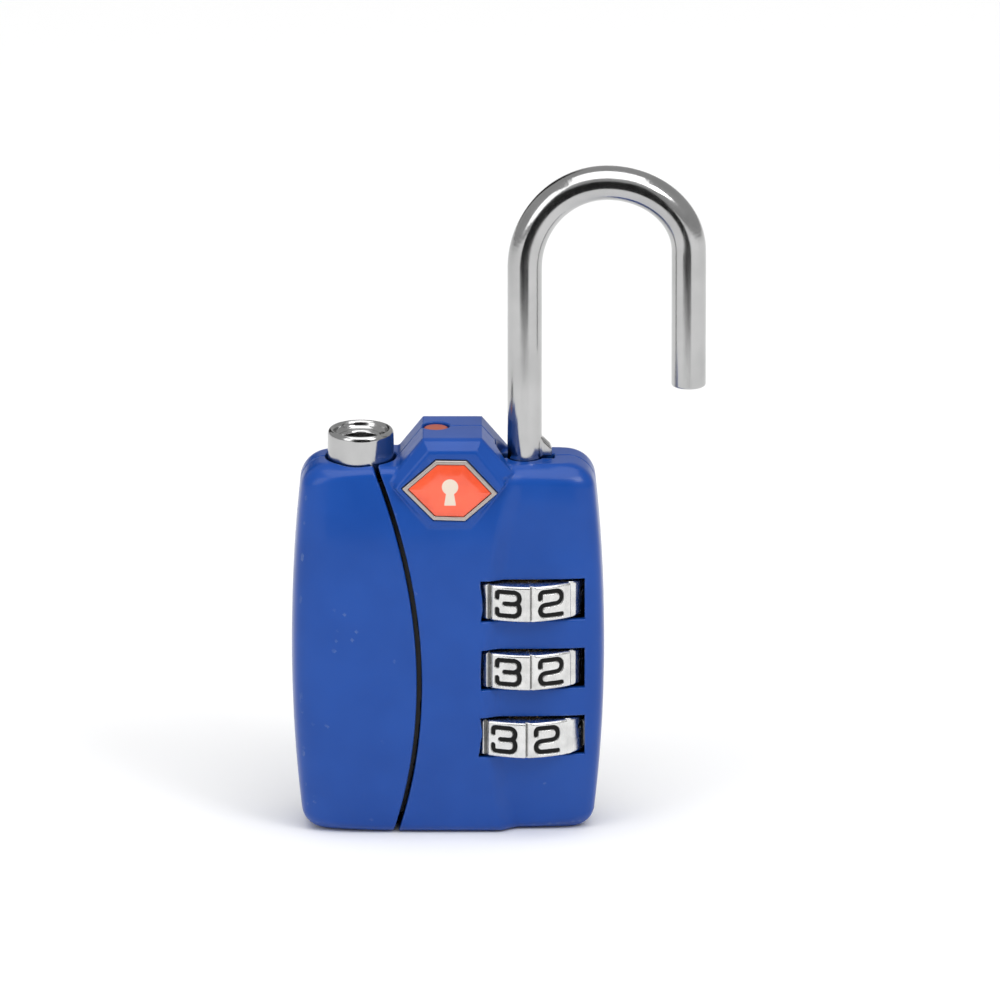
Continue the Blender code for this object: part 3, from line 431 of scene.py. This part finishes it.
def button_space(x, y, z):
    return drum(np.hypot(x - BUTTON_X, y), z, BUTTON_HOLE_R, BUTTON_HOLE_FOOT_Z, OPEN_Z)


def key_space(x, y, z):
    radial = np.hypot(x - KEY_X, y)
    shell_room = drum(radial, z, SHELL_ROOM_R, -OPEN_Z, SHELL_ROOM_TOP_Z)
    return np.minimum(shell_room, drum(radial, z, CAM_ROOM_R, CAM_ROOM_FOOT_Z, CAM_ROOM_TOP_Z))


def small_spaces(x, y, z):
    """The alert pin's hole, the fin's slots and turning relief, and the screw holes."""
    pin = np.hypot(x - ALERT_X, y - SEAM_Y)
    leg = np.hypot(x - LEG_X, y)
    reach = FIN_REACH + 0.25
    hole = drum(pin, z, ALERT_HOLE_R, ALERT_ROOM_TOP_Z - 2.3, OPEN_Z)
    spaces = np.minimum(hole, drum(pin, z, ALERT_ROOM_R, ALERT_ROOM_FOOT_Z, ALERT_ROOM_TOP_Z))
    half = FIN_WIDTH / 2 + 0.15
    slot_low = FIN_FOOT_Z - SHACKLE_TRAVEL - 0.35
    slot = block(x, y, z, (LEG_X - reach, -half, slot_low), (LEG_X + reach, half, OPEN_Z))
    spaces = np.minimum(spaces, np.minimum(slot, drum(leg, z, reach, TOP_Z, OPEN_Z)))
    for screw_x, screw_z in SCREWS:
        radial = np.hypot(x - screw_x, z - screw_z)
        share = abs(screw_x) / float(half_width(screw_z))
        back = float(half_depth(screw_z)) * (1 - share**SECTION_POWER) ** (1 / SECTION_POWER)
        hole = drum(radial, y, SCREW_HOLE_R, SCREW_HOLE_TIP_Y, back)
        countersink = drum(radial, y, SCREW_RECESS_R, back - SCREW_RECESS_DEPTH, 2 * HALF_DEPTH)
        spaces = np.minimum(spaces, np.minimum(hole, countersink))
    return spaces


def shared_spaces(x, y, z):
    spaces = np.minimum(wheel_spaces(x, y, z), latch_spaces(x, y, z))
    spaces = np.minimum(spaces, np.minimum(button_space(x, y, z), key_space(x, y, z)))
    return np.minimum(spaces, small_spaces(x, y, z))


def front_cover_field(x, y, z):
    form = round_both(body_form(x, y, z), y - (SEAM_Y - SEAM_GAP / 2), 0.1)
    guard = polygon(x, z, HOUSING_HEX) - 0.3
    panel = np.maximum(x - groove_x(z) - GROOVE / 2, -(pillow(x, y, z) + SKIN + 0.12))
    form = carve(form, np.maximum(panel, -guard), 0.16)
    pocket = np.maximum(polygon(x, z, EMBLEM_HEX) - 0.06, y - (FACE_HEX_Y + 0.5))
    form = carve(form, pocket, 0.08)
    return carve(form, shared_spaces(x, y, z), 0.13)


def left_panel_field(x, y, z):
    outer = pillow(x, y, z)
    form = round_both(outer, x - (groove_x(z) - GROOVE / 2), 0.16)
    form = round_both(form, y - (SEAM_Y - SEAM_GAP / 2), 0.1)
    form = np.maximum(form, -(outer + SKIN))
    form = carve(form, polygon(x, z, HOUSING_HEX) - 0.75, 0.15)
    return carve(form, np.minimum(button_space(x, y, z), key_space(x, y, z)), 0.15)


def rear_cover_field(x, y, z):
    form = round_both(body_form(x, y, z), SEAM_Y + SEAM_GAP / 2 - y, 0.1)
    return carve(form, shared_spaces(x, y, z), 0.13)


# ---------------------------------------------------------------- other forms


def bar_line():
    """The shackle's centre line in X and Z, from the guided leg over the crown to the toe."""
    half = LEG_SPACING / 2
    line = [(LEG_X, LEG_FOOT_Z - 5)]
    for i in range(61):
        angle = math.pi * i / 60
        spring_z = LEG_SPRING_Z if i <= 30 else TOE_SPRING_Z
        rise = (CROWN_Z - spring_z) * math.sin(angle)
        line.append((LEG_X + half - half * math.cos(angle), spring_z + rise))
    line.append((LEG_X + LEG_SPACING, TOE_Z - 5))
    return line


def shackle_field(x, y, z):
    """The bent bar with its fin, the flats that the latch takes, and the pin at its foot."""
    line = bar_line()
    flat = None
    for start, end in zip(line, line[1:]):
        reach = segment(x, z, start, end)
        flat = reach if flat is None else np.minimum(flat, reach)
    bar = np.hypot(flat, y) - LEG_R
    end_z = np.where(x < LEG_X + LEG_SPACING / 2, LEG_FOOT_Z, TOE_Z)
    bar = round_both(bar, end_z - z, 0.22)
    half = FIN_WIDTH / 2
    fin = block(x, y, z, (LEG_X, -half, FIN_FOOT_Z), (LEG_X + FIN_REACH, half, FIN_TOP_Z))
    sloped = ((x - LEG_X - LEG_R) + (z - FIN_TOP_Z)) * 0.72
    fin = round_both(fin, sloped, 0.2)
    bar = round_either(bar, fin, 0.22)
    wide = 3.0
    cuts = block(x, y, z, (LEG_X + FLAT_DEPTH, -wide, LEG_FOOT_Z - wide), (LEG_X + wide, wide, NOTCH_TOP_Z))
    notch = block(x, y, z, (LEG_X - wide, -wide, NOTCH_LOW_Z), (LEG_X - FLAT_DEPTH, wide, NOTCH_TOP_Z))
    cuts = np.minimum(cuts, notch)
    pin = drum(np.hypot(x - LEG_X, y), z, PIN_R, PIN_FOOT_Z, LEG_FOOT_Z + 1)
    return np.minimum(carve(bar, cuts, 0.06), pin)


NUMERALS = (
    [((0, 1), (-0.9, 1), (-0.9, -1), (0.9, -1), (0.9, 1), (0, 1))],
    [((-0.4, 0.6), (0.1, 1), (0.1, -1))],
    [((-1, 0.45), (-1, 1), (1, 1), (1, -0.02), (-1, -0.12), (-1, -1), (1, -1))],
    [((-1, 0.5), (-1, 1), (1, 1), (1, 0.02), (-0.3, 0.02)),
     ((0.2, 0.02), (1, 0.02), (1, -1), (-1, -1), (-1, -0.5))],
    [((0.45, -1), (0.45, 1)), ((0.45, 1), (-1, -0.35), (1, -0.35))],
    [((0.85, 1), (-0.85, 1), (-0.85, 0.12), (1, 0.12), (1, -1), (-1, -1), (-1, -0.5))],
    [((0.9, 0.55), (0.9, 1), (-1, 1), (-1, -1), (1, -1), (1, 0.08), (-0.95, 0.08))],
    [((-1, 1), (1, 1), (-0.2, -1))],
    [((0, 1), (-0.9, 1), (-0.9, 0.02), (0.9, 0.02), (0.9, 1), (0, 1)),
     ((0, 0.02), (-1, 0.02), (-1, -1), (1, -1), (1, 0.02), (0, 0.02))],
    [((-0.9, -0.55), (-0.9, -1), (1, -1), (1, 1), (-1, 1), (-1, -0.08), (0.95, -0.08))],
)


def digit_strokes(digit):
    """The centre lines of a plain numeral with rounded corners."""
    lines = []
    for shape in NUMERALS[digit]:
        corners = [np.array((u * DIGIT_HALF_WIDTH, v * DIGIT_HALF_HEIGHT)) for u, v in shape]
        line = [tuple(corners[0])]
        for before, here, after in zip(corners, corners[1:], corners[2:]):
            back, ahead = before - here, after - here
            reach = min(0.55, 0.499 * np.linalg.norm(back), 0.499 * np.linalg.norm(ahead))
            start = here + back / np.linalg.norm(back) * reach
            end = here + ahead / np.linalg.norm(ahead) * reach
            for share in (0, 0.2, 0.4, 0.6, 0.8, 1):
                pull = 0.85 * here + 0.075 * (start + end)
                bend = (1 - share) ** 2 * start + 2 * share * (1 - share) * pull
                line.append(tuple(bend + share**2 * end))
        lines.append(line + [tuple(corners[-1])])
    return lines


def wheel_parts(x, y, z, middle, turn):
    """A wheel's rim before engraving, with the distances to its numerals and to the walls of the
    notches between its facets, which are blackened as painted shade."""
    side, ahead = x - LEG_X, -y
    step = 2 * math.pi / DIGITS
    bearing = np.arctan2(side, ahead) - math.radians(turn)
    facet = np.floor(bearing / step)
    centre = (facet + 0.5) * step + math.radians(turn)
    out = side * np.sin(centre) + ahead * np.cos(centre)
    u = side * np.cos(centre) - ahead * np.sin(centre)
    radial = np.hypot(side, ahead)
    face = out - (DIAL_R - 0.12) + 0.055 * u**2
    notch_at = np.round(bearing / step) * step + math.radians(turn)
    rise = side * np.sin(notch_at) + ahead * np.cos(notch_at)
    along = side * np.cos(notch_at) - ahead * np.sin(notch_at)
    ramp = (DIAL_R - 0.03 - NOTCH_DEPTH + NOTCH_SLOPE * along - rise) / math.hypot(1, NOTCH_SLOPE)
    notch = np.maximum(-along, ramp)
    rim = round_both(face, np.abs(z - middle) - DIAL_THICK / 2, 0.26)
    rim = carve(rim, notch, 0.05)
    shape = np.broadcast_shapes(np.shape(u), np.shape(z))
    stroke = np.full(shape, 9.0)
    near = np.broadcast_to((radial > DIAL_R - 1.2) & (radial < DIAL_R + 0.8), shape)
    local_u = np.broadcast_to(u, shape)[near]
    local_v = np.broadcast_to(z - middle, shape)[near]
    digit = np.broadcast_to((2 - facet) % DIGITS, shape)[near]
    found = np.full(local_u.shape, 9.0)
    for number in range(DIGITS):
        mine = digit == number
        reach = np.full(int(mine.sum()), 9.0)
        for line in digit_strokes(number):
            for start, end in zip(line, line[1:]):
                reach = np.minimum(reach, segment(local_u[mine], local_v[mine], start, end))
        found[mine] = reach
    stroke[near] = found
    # Painted shade: the ink reaches each notch wall below the rim, blackening it.
    corner = np.hypot(along, np.maximum(rise - (DIAL_R - 0.16), 0)) + STROKE - 0.02
    return rim, stroke, corner


def wheel_field(middle, turn):
    def field(x, y, z):
        rim, stroke, corner = wheel_parts(x, y, z, middle, turn)
        numeral = np.maximum(stroke - STROKE, -(rim + ENGRAVED))
        form = carve(rim, numeral, 0.05)
        radial = np.hypot(x - LEG_X, y)
        near, far, half = LEG_X + KEYWAY_NEAR, LEG_X + KEYWAY_FAR, KEYWAY_HALF
        keyway = block(x, y, z, (near, -half, middle - DIAL_THICK), (far, half, middle + DIAL_THICK))
        return carve(form, np.minimum(radial - DIAL_BORE_R, keyway), 0.1)
    return field


def button_field(x, y, z):
    """A rounded cup whose dish slopes down to the bore for the toe."""
    radial = np.hypot(x - BUTTON_X, y)
    low, top = BUTTON_LOW[2], BUTTON_HIGH[2]
    outer = round_both(radial - BUTTON_R, np.maximum(low - z, z - top), 0.62)
    dish_floor = top - DISH_DEPTH + 0.03 * radial**2
    dish = round_both(radial - DISH_R - 0.25 * (z - top + 0.8), dish_floor - z, 0.35)
    cup = carve(outer, dish, 0.4)
    bore = drum(radial, z, TOE_BORE_R, top - TOE_BORE_DEPTH, OPEN_Z)
    socket = drum(radial, z, SOCKET_R, -OPEN_Z, low + SOCKET_DEPTH)
    return carve(carve(cup, bore, 0.25), socket, 0.05)


def emblem_plate_field(x, y, z):
    outline = polygon(x, z, EMBLEM_HEX)
    thickness = np.maximum(FACE_HEX_Y - RIM_PROUD - y, y - FACE_HEX_Y - RIM_SUNK)
    plate = round_both(outline, thickness, 0.13)
    tray = round_both(outline + RIM_WIDTH, y - (FACE_HEX_Y + 0.1), 0.05)
    return carve(plate, tray, 0.06)


def enamel_field(x, y, z):
    """The domed enamel that fills the emblem's rim."""
    outline = polygon(x, z, EMBLEM_HEX) + ENAMEL_INSET
    dome = DOME_HEIGHT * (1 - np.exp(np.minimum(outline, 0) * 1.6))
    return round_both(outline, np.maximum(FACE_HEX_Y - 0.1 - dome - y, y - FACE_HEX_Y), 0.06)


def keyhole_sign(x, z):
    """The distance to the keyhole on the enamel, in the emblem's plane."""
    middle_x = sum(corner[0] for corner in EMBLEM_HEX) / 6
    middle_z = sum(corner[1] for corner in EMBLEM_HEX) / 6
    head = np.hypot(x - middle_x, z - middle_z - KEYHOLE_HEAD_RISE) - KEYHOLE_HEAD_R
    waist = np.abs(x - middle_x) - KEYHOLE_WAIST - 0.16 * (middle_z - z)
    skirt = np.maximum(waist, np.maximum(middle_z - KEYHOLE_FOOT - z, z - middle_z - 0.3))
    return np.minimum(head, skirt)


def alert_field(x, y, z):
    radial = np.hypot(x - ALERT_X, y - SEAM_Y)
    low, top = ALERT_LOW[2], ALERT_HIGH[2]
    head = round_both(radial - ALERT_R, np.maximum(low + 2.2 - z, z - top + 0.02 * radial**2), 0.2)
    collar = drum(radial, z, ALERT_COLLAR_R, low + 1.7, low + 2.4)
    return np.minimum(head, np.minimum(collar, drum(radial, z, ALERT_STEM_R, low, low + 2)))


def shell_field(x, y, z):
    radial = np.hypot(x - KEY_X, y)
    ring = np.maximum(radial - SHELL_R, SHELL_BORE_R - radial)
    return round_both(ring, np.maximum(SHELL_LOW[2] - z, z - SHELL_HIGH[2]), 0.1)


def plug_field(x, y, z):
    radial = np.hypot(x - KEY_X, y)
    core = round_both(radial - PLUG_R, np.maximum(PLUG_LOW[2] - z, z - PLUG_HIGH[2]), 0.15)
    slit = np.maximum(np.abs(x - KEY_X) - SLIT_HALF, np.abs(y) - SLIT_REACH)
    slit = np.maximum(slit, z - SLIT_TOP_Z)
    ward = block(x, y, z, (KEY_X - 0.6, 0.2, -OPEN_Z), (KEY_X, 0.7, SLIT_TOP_Z))
    thread = drum(radial, z, 0.6, SLIT_TOP_Z + 0.7, OPEN_Z)
    cuts = np.minimum(np.minimum(slit, ward), thread)
    near, far = KEY_X + 0.55, KEY_X + 2.5
    for low in WAFER_Z:
        seat = block(x, y, z, (near, -WAFER_HALF, low), (far, WAFER_HALF, low + WAFER_THICK))
        cuts = np.minimum(cuts, seat)
    return carve(core, cuts, 0.06)


def screw_field(node):
    """A countersunk-hole screw with a crossed slot, along Y."""
    low, high = box_mm(node)
    middle_x, middle_z = (low[0] + high[0]) / 2, (low[2] + high[2]) / 2

    def field(x, y, z):
        side, rise = x - middle_x, z - middle_z
        radial = np.hypot(side, rise)
        dome = y - high[1] + 0.1 * radial**2
        thickness = np.maximum(high[1] - SCREW_HEAD_THICK - y, dome)
        head = round_both(radial - SCREW_HEAD_R, thickness, 0.15)
        shank = drum(radial, y, SCREW_R, low[1], high[1] - 0.5)
        cross = np.minimum(np.abs(side), np.abs(rise)) - CROSS_HALF
        cross = np.maximum(np.maximum(cross, radial - CROSS_REACH), high[1] - CROSS_DEPTH - y)
        return carve(np.minimum(head, shank), cross, 0.06)
    return field, low, high


# ---------------------------------------------------------------- materials


class Nodes:
    """Short calls for building one material's nodes."""

    def __init__(self, name):
        self.material = bpy.data.materials.new(name)
        self.material.use_nodes = True
        self.tree = self.material.node_tree
        self.shader = self.tree.nodes["Principled BSDF"]
        place = self.tree.nodes.new("ShaderNodeTexCoord")
        self.place = place.outputs["Object"]

    def set(self, **values):
        for name, value in values.items():
            self.shader.inputs[name.replace("_", " ")].default_value = value

    def link(self, output, socket):
        self.tree.links.new(output, socket)

    def noise(self, scale, detail=3.0, roughness=0.55, stretch=None):
        node = self.tree.nodes.new("ShaderNodeTexNoise")
        node.inputs["Scale"].default_value = scale
        node.inputs["Detail"].default_value = detail
        node.inputs["Roughness"].default_value = roughness
        place = self.place
        if stretch:
            mapping = self.tree.nodes.new("ShaderNodeMapping")
            mapping.inputs["Scale"].default_value = stretch
            self.link(place, mapping.inputs["Vector"])
            place = mapping.outputs["Vector"]
        self.link(place, node.inputs["Vector"])
        return node.outputs["Fac"]

    def span(self, value, low, high, to_low, to_high):
        node = self.tree.nodes.new("ShaderNodeMapRange")
        names = ("From Min", "From Max", "To Min", "To Max")
        for name, number in zip(names, (low, high, to_low, to_high)):
            node.inputs[name].default_value = number
        self.link(value, node.inputs["Value"])
        return node.outputs["Result"]

    def colours(self, value, first, second):
        node = self.tree.nodes.new("ShaderNodeMix")
        node.data_type = "RGBA"
        node.inputs["A"].default_value = (*first, 1.0) if isinstance(first, tuple) else (0, 0, 0, 1)
        node.inputs["B"].default_value = (*second, 1.0)
        if not isinstance(first, tuple):
            self.link(first, node.inputs["A"])
        self.link(value, node.inputs["Factor"])
        return node.outputs["Result"]

    def maths(self, kind, first, second):
        node = self.tree.nodes.new("ShaderNodeMath")
        node.operation = kind
        for socket, value in zip(node.inputs, (first, second)):
            if isinstance(value, (int, float)):
                socket.default_value = value
            else:
                self.link(value, socket)
        return node.outputs["Value"]

    def attribute(self, name):
        node = self.tree.nodes.new("ShaderNodeAttribute")
        node.attribute_name = name
        return node.outputs["Fac"]

    def pointiness(self):
        """How sharply the surface turns outwards, 0.5 on the flat."""
        return self.tree.nodes.new("ShaderNodeNewGeometry").outputs["Pointiness"]

    def bump(self, height, distance, strength=1.0):
        node = self.tree.nodes.new("ShaderNodeBump")
        node.inputs["Distance"].default_value = distance
        node.inputs["Strength"].default_value = strength
        self.link(height, node.inputs["Height"])
        self.link(node.outputs["Normal"], self.shader.inputs["Normal"])


def blue_paint():
    """Gloss paint on a die casting: cloudiness, orange peel, dust nibs, rubs and worn edges, and painted
    shade: near-black on the faces inside the body form, in the windows and slots.
    """
    made = Nodes("blue_gloss_paint")
    cloud = made.span(made.noise(160, 2.0), 0.35, 0.65, 0.0, 1.0)
    colour = made.colours(cloud, (0.005, 0.056, 0.30), (0.007, 0.064, 0.33))
    speck = made.span(made.noise(5200, 1.0), 0.76, 0.82, 0.0, 0.05)
    colour = made.colours(speck, colour, (0.06, 0.13, 0.40))
    worn = made.span(made.pointiness(), 0.53, 0.58, 0.0, 0.5)
    worn = made.maths("MULTIPLY", worn, made.span(made.noise(700, 4.0, 0.65), 0.42, 0.62, 0.0, 1.0))
    colour = made.colours(worn, colour, (0.11, 0.18, 0.36))
    # Painted shade: faces that lie deeper than about 0.35 mm inside the body form, in the windows and
    # slots, fade to near-black.
    painted_inner_shade = made.span(made.attribute("inside"), 0.35, 0.9, 0.0, 1.0)
    colour = made.colours(painted_inner_shade, colour, (0.002, 0.003, 0.006))
    made.link(colour, made.shader.inputs["Base Color"])
    rub = made.span(made.noise(900, 4.0, 0.6, (1.0, 1.0, 0.12)), 0.3, 0.75, 0.28, 0.33)
    rough = made.maths("ADD", rub, made.maths("MULTIPLY", worn, 0.2))
    made.link(rough, made.shader.inputs["Roughness"])
    made.set(Coat_Weight=0.15, Coat_Roughness=0.12, Specular_IOR_Level=0.22)
    made.bump(made.noise(1500, 2.0, 0.5), 0.000006, 0.5)
    return made.material


def chrome():
    """Bright plated steel with hairline polishing marks and a few smudges."""
    made = Nodes("bright_chrome")
    smudge = made.span(made.noise(220, 3.0), 0.4, 0.7, 0.0, 1.0)
    colour = made.colours(smudge, (0.49, 0.49, 0.49), (0.42, 0.42, 0.42))
    made.link(colour, made.shader.inputs["Base Color"])
    hair = made.noise(2400, 3.0, 0.6, (1.0, 1.0, 0.06))
    made.link(made.span(hair, 0.3, 0.75, 0.12, 0.22), made.shader.inputs["Roughness"])
    made.set(Metallic=1.0)
    made.bump(made.noise(1100, 2.0, 0.5, (1.0, 1.0, 0.3)), 0.000005, 0.5)
    return made.material


def wheel_chrome():
    """Satin plated wheels, with black filling in the engraved numerals and painted shade in black on the
    notch walls between the facets.
    """
    made = Nodes("numbered_chrome")
    # The numeral attribute holds both the real ink in the engraved numerals and painted shade on the notch
    # walls.
    numeral_ink_and_notch_shade = made.span(made.attribute("numeral"), -0.035, 0.02, 1.0, 0.0)
    cast = made.span(made.noise(900, 3.0), 0.35, 0.7, 0.0, 1.0)
    metal = made.colours(cast, (0.74, 0.74, 0.73), (0.60, 0.60, 0.59))
    made.link(made.colours(numeral_ink_and_notch_shade, metal, (0.003, 0.003, 0.003)), made.shader.inputs["Base Color"])
    made.set(Specular_IOR_Level=0.2)
    made.link(made.maths("SUBTRACT", 1.0, numeral_ink_and_notch_shade), made.shader.inputs["Metallic"])
    grain = made.span(made.noise(2600, 3.0, 0.6, (1.0, 1.0, 0.15)), 0.3, 0.75, 0.2, 0.34)
    rough = made.maths("ADD", grain, made.maths("MULTIPLY", numeral_ink_and_notch_shade, 0.15))
    made.link(rough, made.shader.inputs["Roughness"])
    made.bump(made.noise(1700, 3.0, 0.6), 0.000012, 0.6)
    return made.material


def rim_metal():
    made = Nodes("emblem_rim_metal")
    grain = made.noise(3000, 3.0, 0.6)
    colour = made.colours(grain, (0.42, 0.375, 0.345), (0.55, 0.50, 0.46))
    made.link(colour, made.shader.inputs["Base Color"])
    made.link(made.span(grain, 0.3, 0.7, 0.3, 0.45), made.shader.inputs["Roughness"])
    made.set(Metallic=0.85)
    made.bump(grain, 0.000006, 0.5)
    return made.material


def enamel():
    """Glossy orange-red enamel with a cream keyhole printed under its dome."""
    made = Nodes("emblem_enamel_gloss")
    cloud = made.span(made.noise(450, 3.0), 0.35, 0.65, 0.0, 1.0)
    colour = made.colours(cloud, (0.80, 0.085, 0.030), (0.90, 0.11, 0.042))
    sign = made.span(made.attribute("sign"), -0.03, 0.03, 1.0, 0.0)
    colour = made.colours(sign, colour, (0.74, 0.63, 0.52))
    made.link(colour, made.shader.inputs["Base Color"])
    made.link(made.span(made.noise(1800, 2.0), 0.3, 0.7, 0.16, 0.24), made.shader.inputs["Roughness"])
    made.set(Coat_Weight=0.6, Coat_Roughness=0.06)
    made.bump(made.noise(700, 2.0), 0.000008, 0.4)
    return made.material


def orange_plastic():
    made = Nodes("alert_orange_plastic")
    grain = made.noise(1500, 3.0)
    colour = made.colours(grain, (0.33, 0.058, 0.028), (0.42, 0.085, 0.045))
    made.link(colour, made.shader.inputs["Base Color"])
    made.link(made.span(grain, 0.3, 0.7, 0.3, 0.42), made.shader.inputs["Roughness"])
    made.bump(grain, 0.000008, 0.5)
    return made.material


def machined(name, dark, light, rough):
    """Turned or blanked metal with fine tool lines, for the works inside and the screws."""
    made = Nodes(name)
    lines = made.noise(2200, 3.0, 0.6, (1.0, 1.0, 0.2))
    made.link(made.colours(lines, dark, light), made.shader.inputs["Base Color"])
    spread = made.span(lines, 0.3, 0.7, rough - 0.07, rough + 0.07)
    made.link(spread, made.shader.inputs["Roughness"])
    made.set(Metallic=1.0)
    made.bump(lines, 0.000006, 0.5)
    return made.material


# ---------------------------------------------------------------- pieces


def add(name, field, low, high, step, body, node, material):
    """Skins a field, gives it a finish, and lets it stand for its CAD node."""
    piece, points = skin(name, field, low, high, step)
    piece.data.materials.append(material)
    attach(piece, body)
    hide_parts(node)
    return piece, points


def make_housing(paint):
    for node, field in (
        ("front_cover", front_cover_field),
        ("left_panel", left_panel_field),
        ("rear_cover", rear_cover_field),
    ):
        low, high = box_mm(node)
        piece, points = add(f"{node}_painted", field, low, high, COVER_STEP, "housing", node,
                            paint)
        # How deep each point lies inside the body form; the paint turns these inner faces near-black as
        # painted shade.
        mark(piece, "inside", -body_form(*points.T))


def make_emblem():
    low, high = box_mm("emblem_plate")
    add("emblem_rim", emblem_plate_field, low, high, SMALL_STEP, "housing", "emblem_plate",
        rim_metal())
    low, high = box_mm("emblem_inlay")
    piece, points = add("emblem_dome", enamel_field, low - 0.4, high + 0.4, SMALL_STEP, "housing",
                        "emblem_inlay", enamel())
    mark(piece, "sign", keyhole_sign(points[:, 0], points[:, 2]))


def make_shackle(metal):
    add("shackle_bar_chrome", shackle_field, SHACKLE_LOW, SHACKLE_HIGH, BAR_STEP, "shackle_bar",
        "shackle", metal)


def make_button(metal):
    add("button_cup_chrome", button_field, BUTTON_LOW, BUTTON_HIGH, SMALL_STEP, "button",
        "button_cup", metal)


def make_wheels():
    metal = wheel_chrome()
    for name, middle, turn in zip(DIAL_NAMES, DIAL_Z, DIAL_TURN):
        node = f"number_wheel_{name}"
        low, high = box_mm(node)
        piece, points = add(f"numbered_wheel_{name}", wheel_field(middle, turn), low, high, WHEEL_STEP,
                            f"dial_{name}_wheel", node, metal)
        rim, stroke, corner = wheel_parts(*points.T, middle, turn)
        sunk = np.clip((-rim - 0.02) / 0.05, 0, 1)
        numeral = np.where(sunk > 0, stroke - STROKE, 0.5) + 0.3 * (1 - sunk)
        # The numerals' ink, with painted shade added on the notch walls.
        mark(piece, "numeral", np.minimum(numeral, corner - STROKE))


def make_small_pieces(steel, brass):
    add("alert_pin_orange", alert_field, ALERT_LOW, ALERT_HIGH, SMALL_STEP, "alert", "alert_pin",
        orange_plastic())
    add("lock_shell_turned", shell_field, SHELL_LOW, SHELL_HIGH, SMALL_STEP, "housing",
        "lock_shell", steel)
    add("key_plug_turned", plug_field, PLUG_LOW, PLUG_HIGH, SMALL_STEP, "key_core",
        "key_plug", brass)
    for number in range(1, len(SCREWS) + 1):
        node = f"cover_screw_{number}"
        field, low, high = screw_field(node)
        add(f"{node}_crossed", field, low, high, SMALL_STEP, "housing", node, steel)


def finish_inner_nodes(steel, brass):
    """Gives the works that stay as CAD nodes their metal."""
    spring_steel = machined("spring_wire", (0.32, 0.33, 0.35), (0.48, 0.49, 0.51), 0.3)
    for name, node in frame["nodes"].items():
        slot = next(row["material_slot"] for row in frame["record"]["subparts"] if row["node"] == name)
        finish = {"steel": steel, "brass": brass, "spring_steel": spring_steel}.get(slot)
        if finish:
            for place in node.material_slots:
                place.material = finish


# ---------------------------------------------------------------- studio


def plane(name, size, place, aim, colour, seen=True):
    """A flat sheet facing a point; an unseen one shows only in reflections."""
    wide, tall = size[0] / 2, size[1] / 2
    corners = [(-wide, -tall, 0), (wide, -tall, 0), (wide, tall, 0), (-wide, tall, 0)]
    mesh = bpy.data.meshes.new(name)
    mesh.from_pydata(corners, [], [(0, 1, 2, 3)])
    made = bpy.data.objects.new(name, mesh)
    bpy.context.scene.collection.objects.link(made)
    made.location = place
    made.rotation_euler = (Vector(aim) - Vector(place)).to_track_quat("Z", "Y").to_euler()
    look = bpy.data.materials.new(name)
    look.use_nodes = True
    shader = look.node_tree.nodes["Principled BSDF"]
    shader.inputs["Base Color"].default_value = (*colour, 1.0)
    shader.inputs["Roughness"].default_value = 0.9
    mesh.materials.append(look)
    if not seen:
        made.visible_camera = False
        made.visible_diffuse = False
        made.visible_shadow = False
    return made


def area_light(name, place, aim, size, power):
    light = bpy.data.lights.new(name, "AREA")
    light.shape = "RECTANGLE"
    light.size, light.size_y = size
    light.energy = power
    made = bpy.data.objects.new(name, light)
    bpy.context.scene.collection.objects.link(made)
    made.location = place
    made.rotation_euler = (Vector(aim) - Vector(place)).to_track_quat("-Z", "Y").to_euler()


def make_studio():
    """A pale sweep in soft light, with a dark panel in front that shows only in the plating."""
    aim = (0.004, 0, 0.03)
    plane("floor", (8, 8), (0, 0, -0.00005), (0, 0, 1), (0.95, 0.95, 0.95))
    plane("dark_front", (0.09, 0.076), (0, -0.08, 0.064), (0, 0, 0.064), (0.01, 0.01, 0.01), False)
    plane("dark_back", (0.5, 0.9), (-0.5, 1.1, 0.30), aim, (0.004, 0.004, 0.004), False)
    area_light("overhead", (0.0, -0.45, 1.5), aim, (1.7, 1.5), 18)
    area_light("key_right", (0.75, -0.75, 0.95), aim, (0.45, 0.45), 4.5)
    area_light("fill_left", (-0.9, -0.8, 0.6), aim, (0.6, 0.8), 3)
    world = bpy.context.scene.world or bpy.data.worlds.new("studio")
    bpy.context.scene.world = world
    world.use_nodes = True
    world.node_tree.nodes["Background"].inputs["Color"].default_value = (1.0, 1.0, 1.0, 1.0)
    world.node_tree.nodes["Background"].inputs["Strength"].default_value = 0.46
    bpy.context.scene.view_settings.view_transform = "Standard"


def make_camera():
    """A long lens, a little above the lock."""
    aim = Vector((0.00499, 0.0, 0.0323))
    back = Vector((0, -math.cos(CAMERA_ELEVATION), math.sin(CAMERA_ELEVATION)))
    data = bpy.data.cameras.new("camera")
    data.sensor_width = 36.0
    data.lens = data.sensor_width * CAMERA_DISTANCE / VIEW_WIDTH
    made = bpy.data.objects.new("camera", data)
    bpy.context.scene.collection.objects.link(made)
    made.location = aim + CAMERA_DISTANCE * back
    made.rotation_euler = (-back).to_track_quat("-Z", "Y").to_euler()
    bpy.context.scene.camera = made


def main():
    metal = chrome()
    steel = machined("machined_steel", (0.42, 0.43, 0.45), (0.6, 0.61, 0.63), 0.32)
    brass = machined("machined_brass", (0.55, 0.38, 0.15), (0.7, 0.52, 0.24), 0.3)
    make_housing(blue_paint())
    make_emblem()
    make_shackle(metal)
    make_button(metal)
    make_wheels()
    make_small_pieces(steel, brass)
    finish_inner_nodes(steel, brass)
    make_studio()
    make_camera()


main()
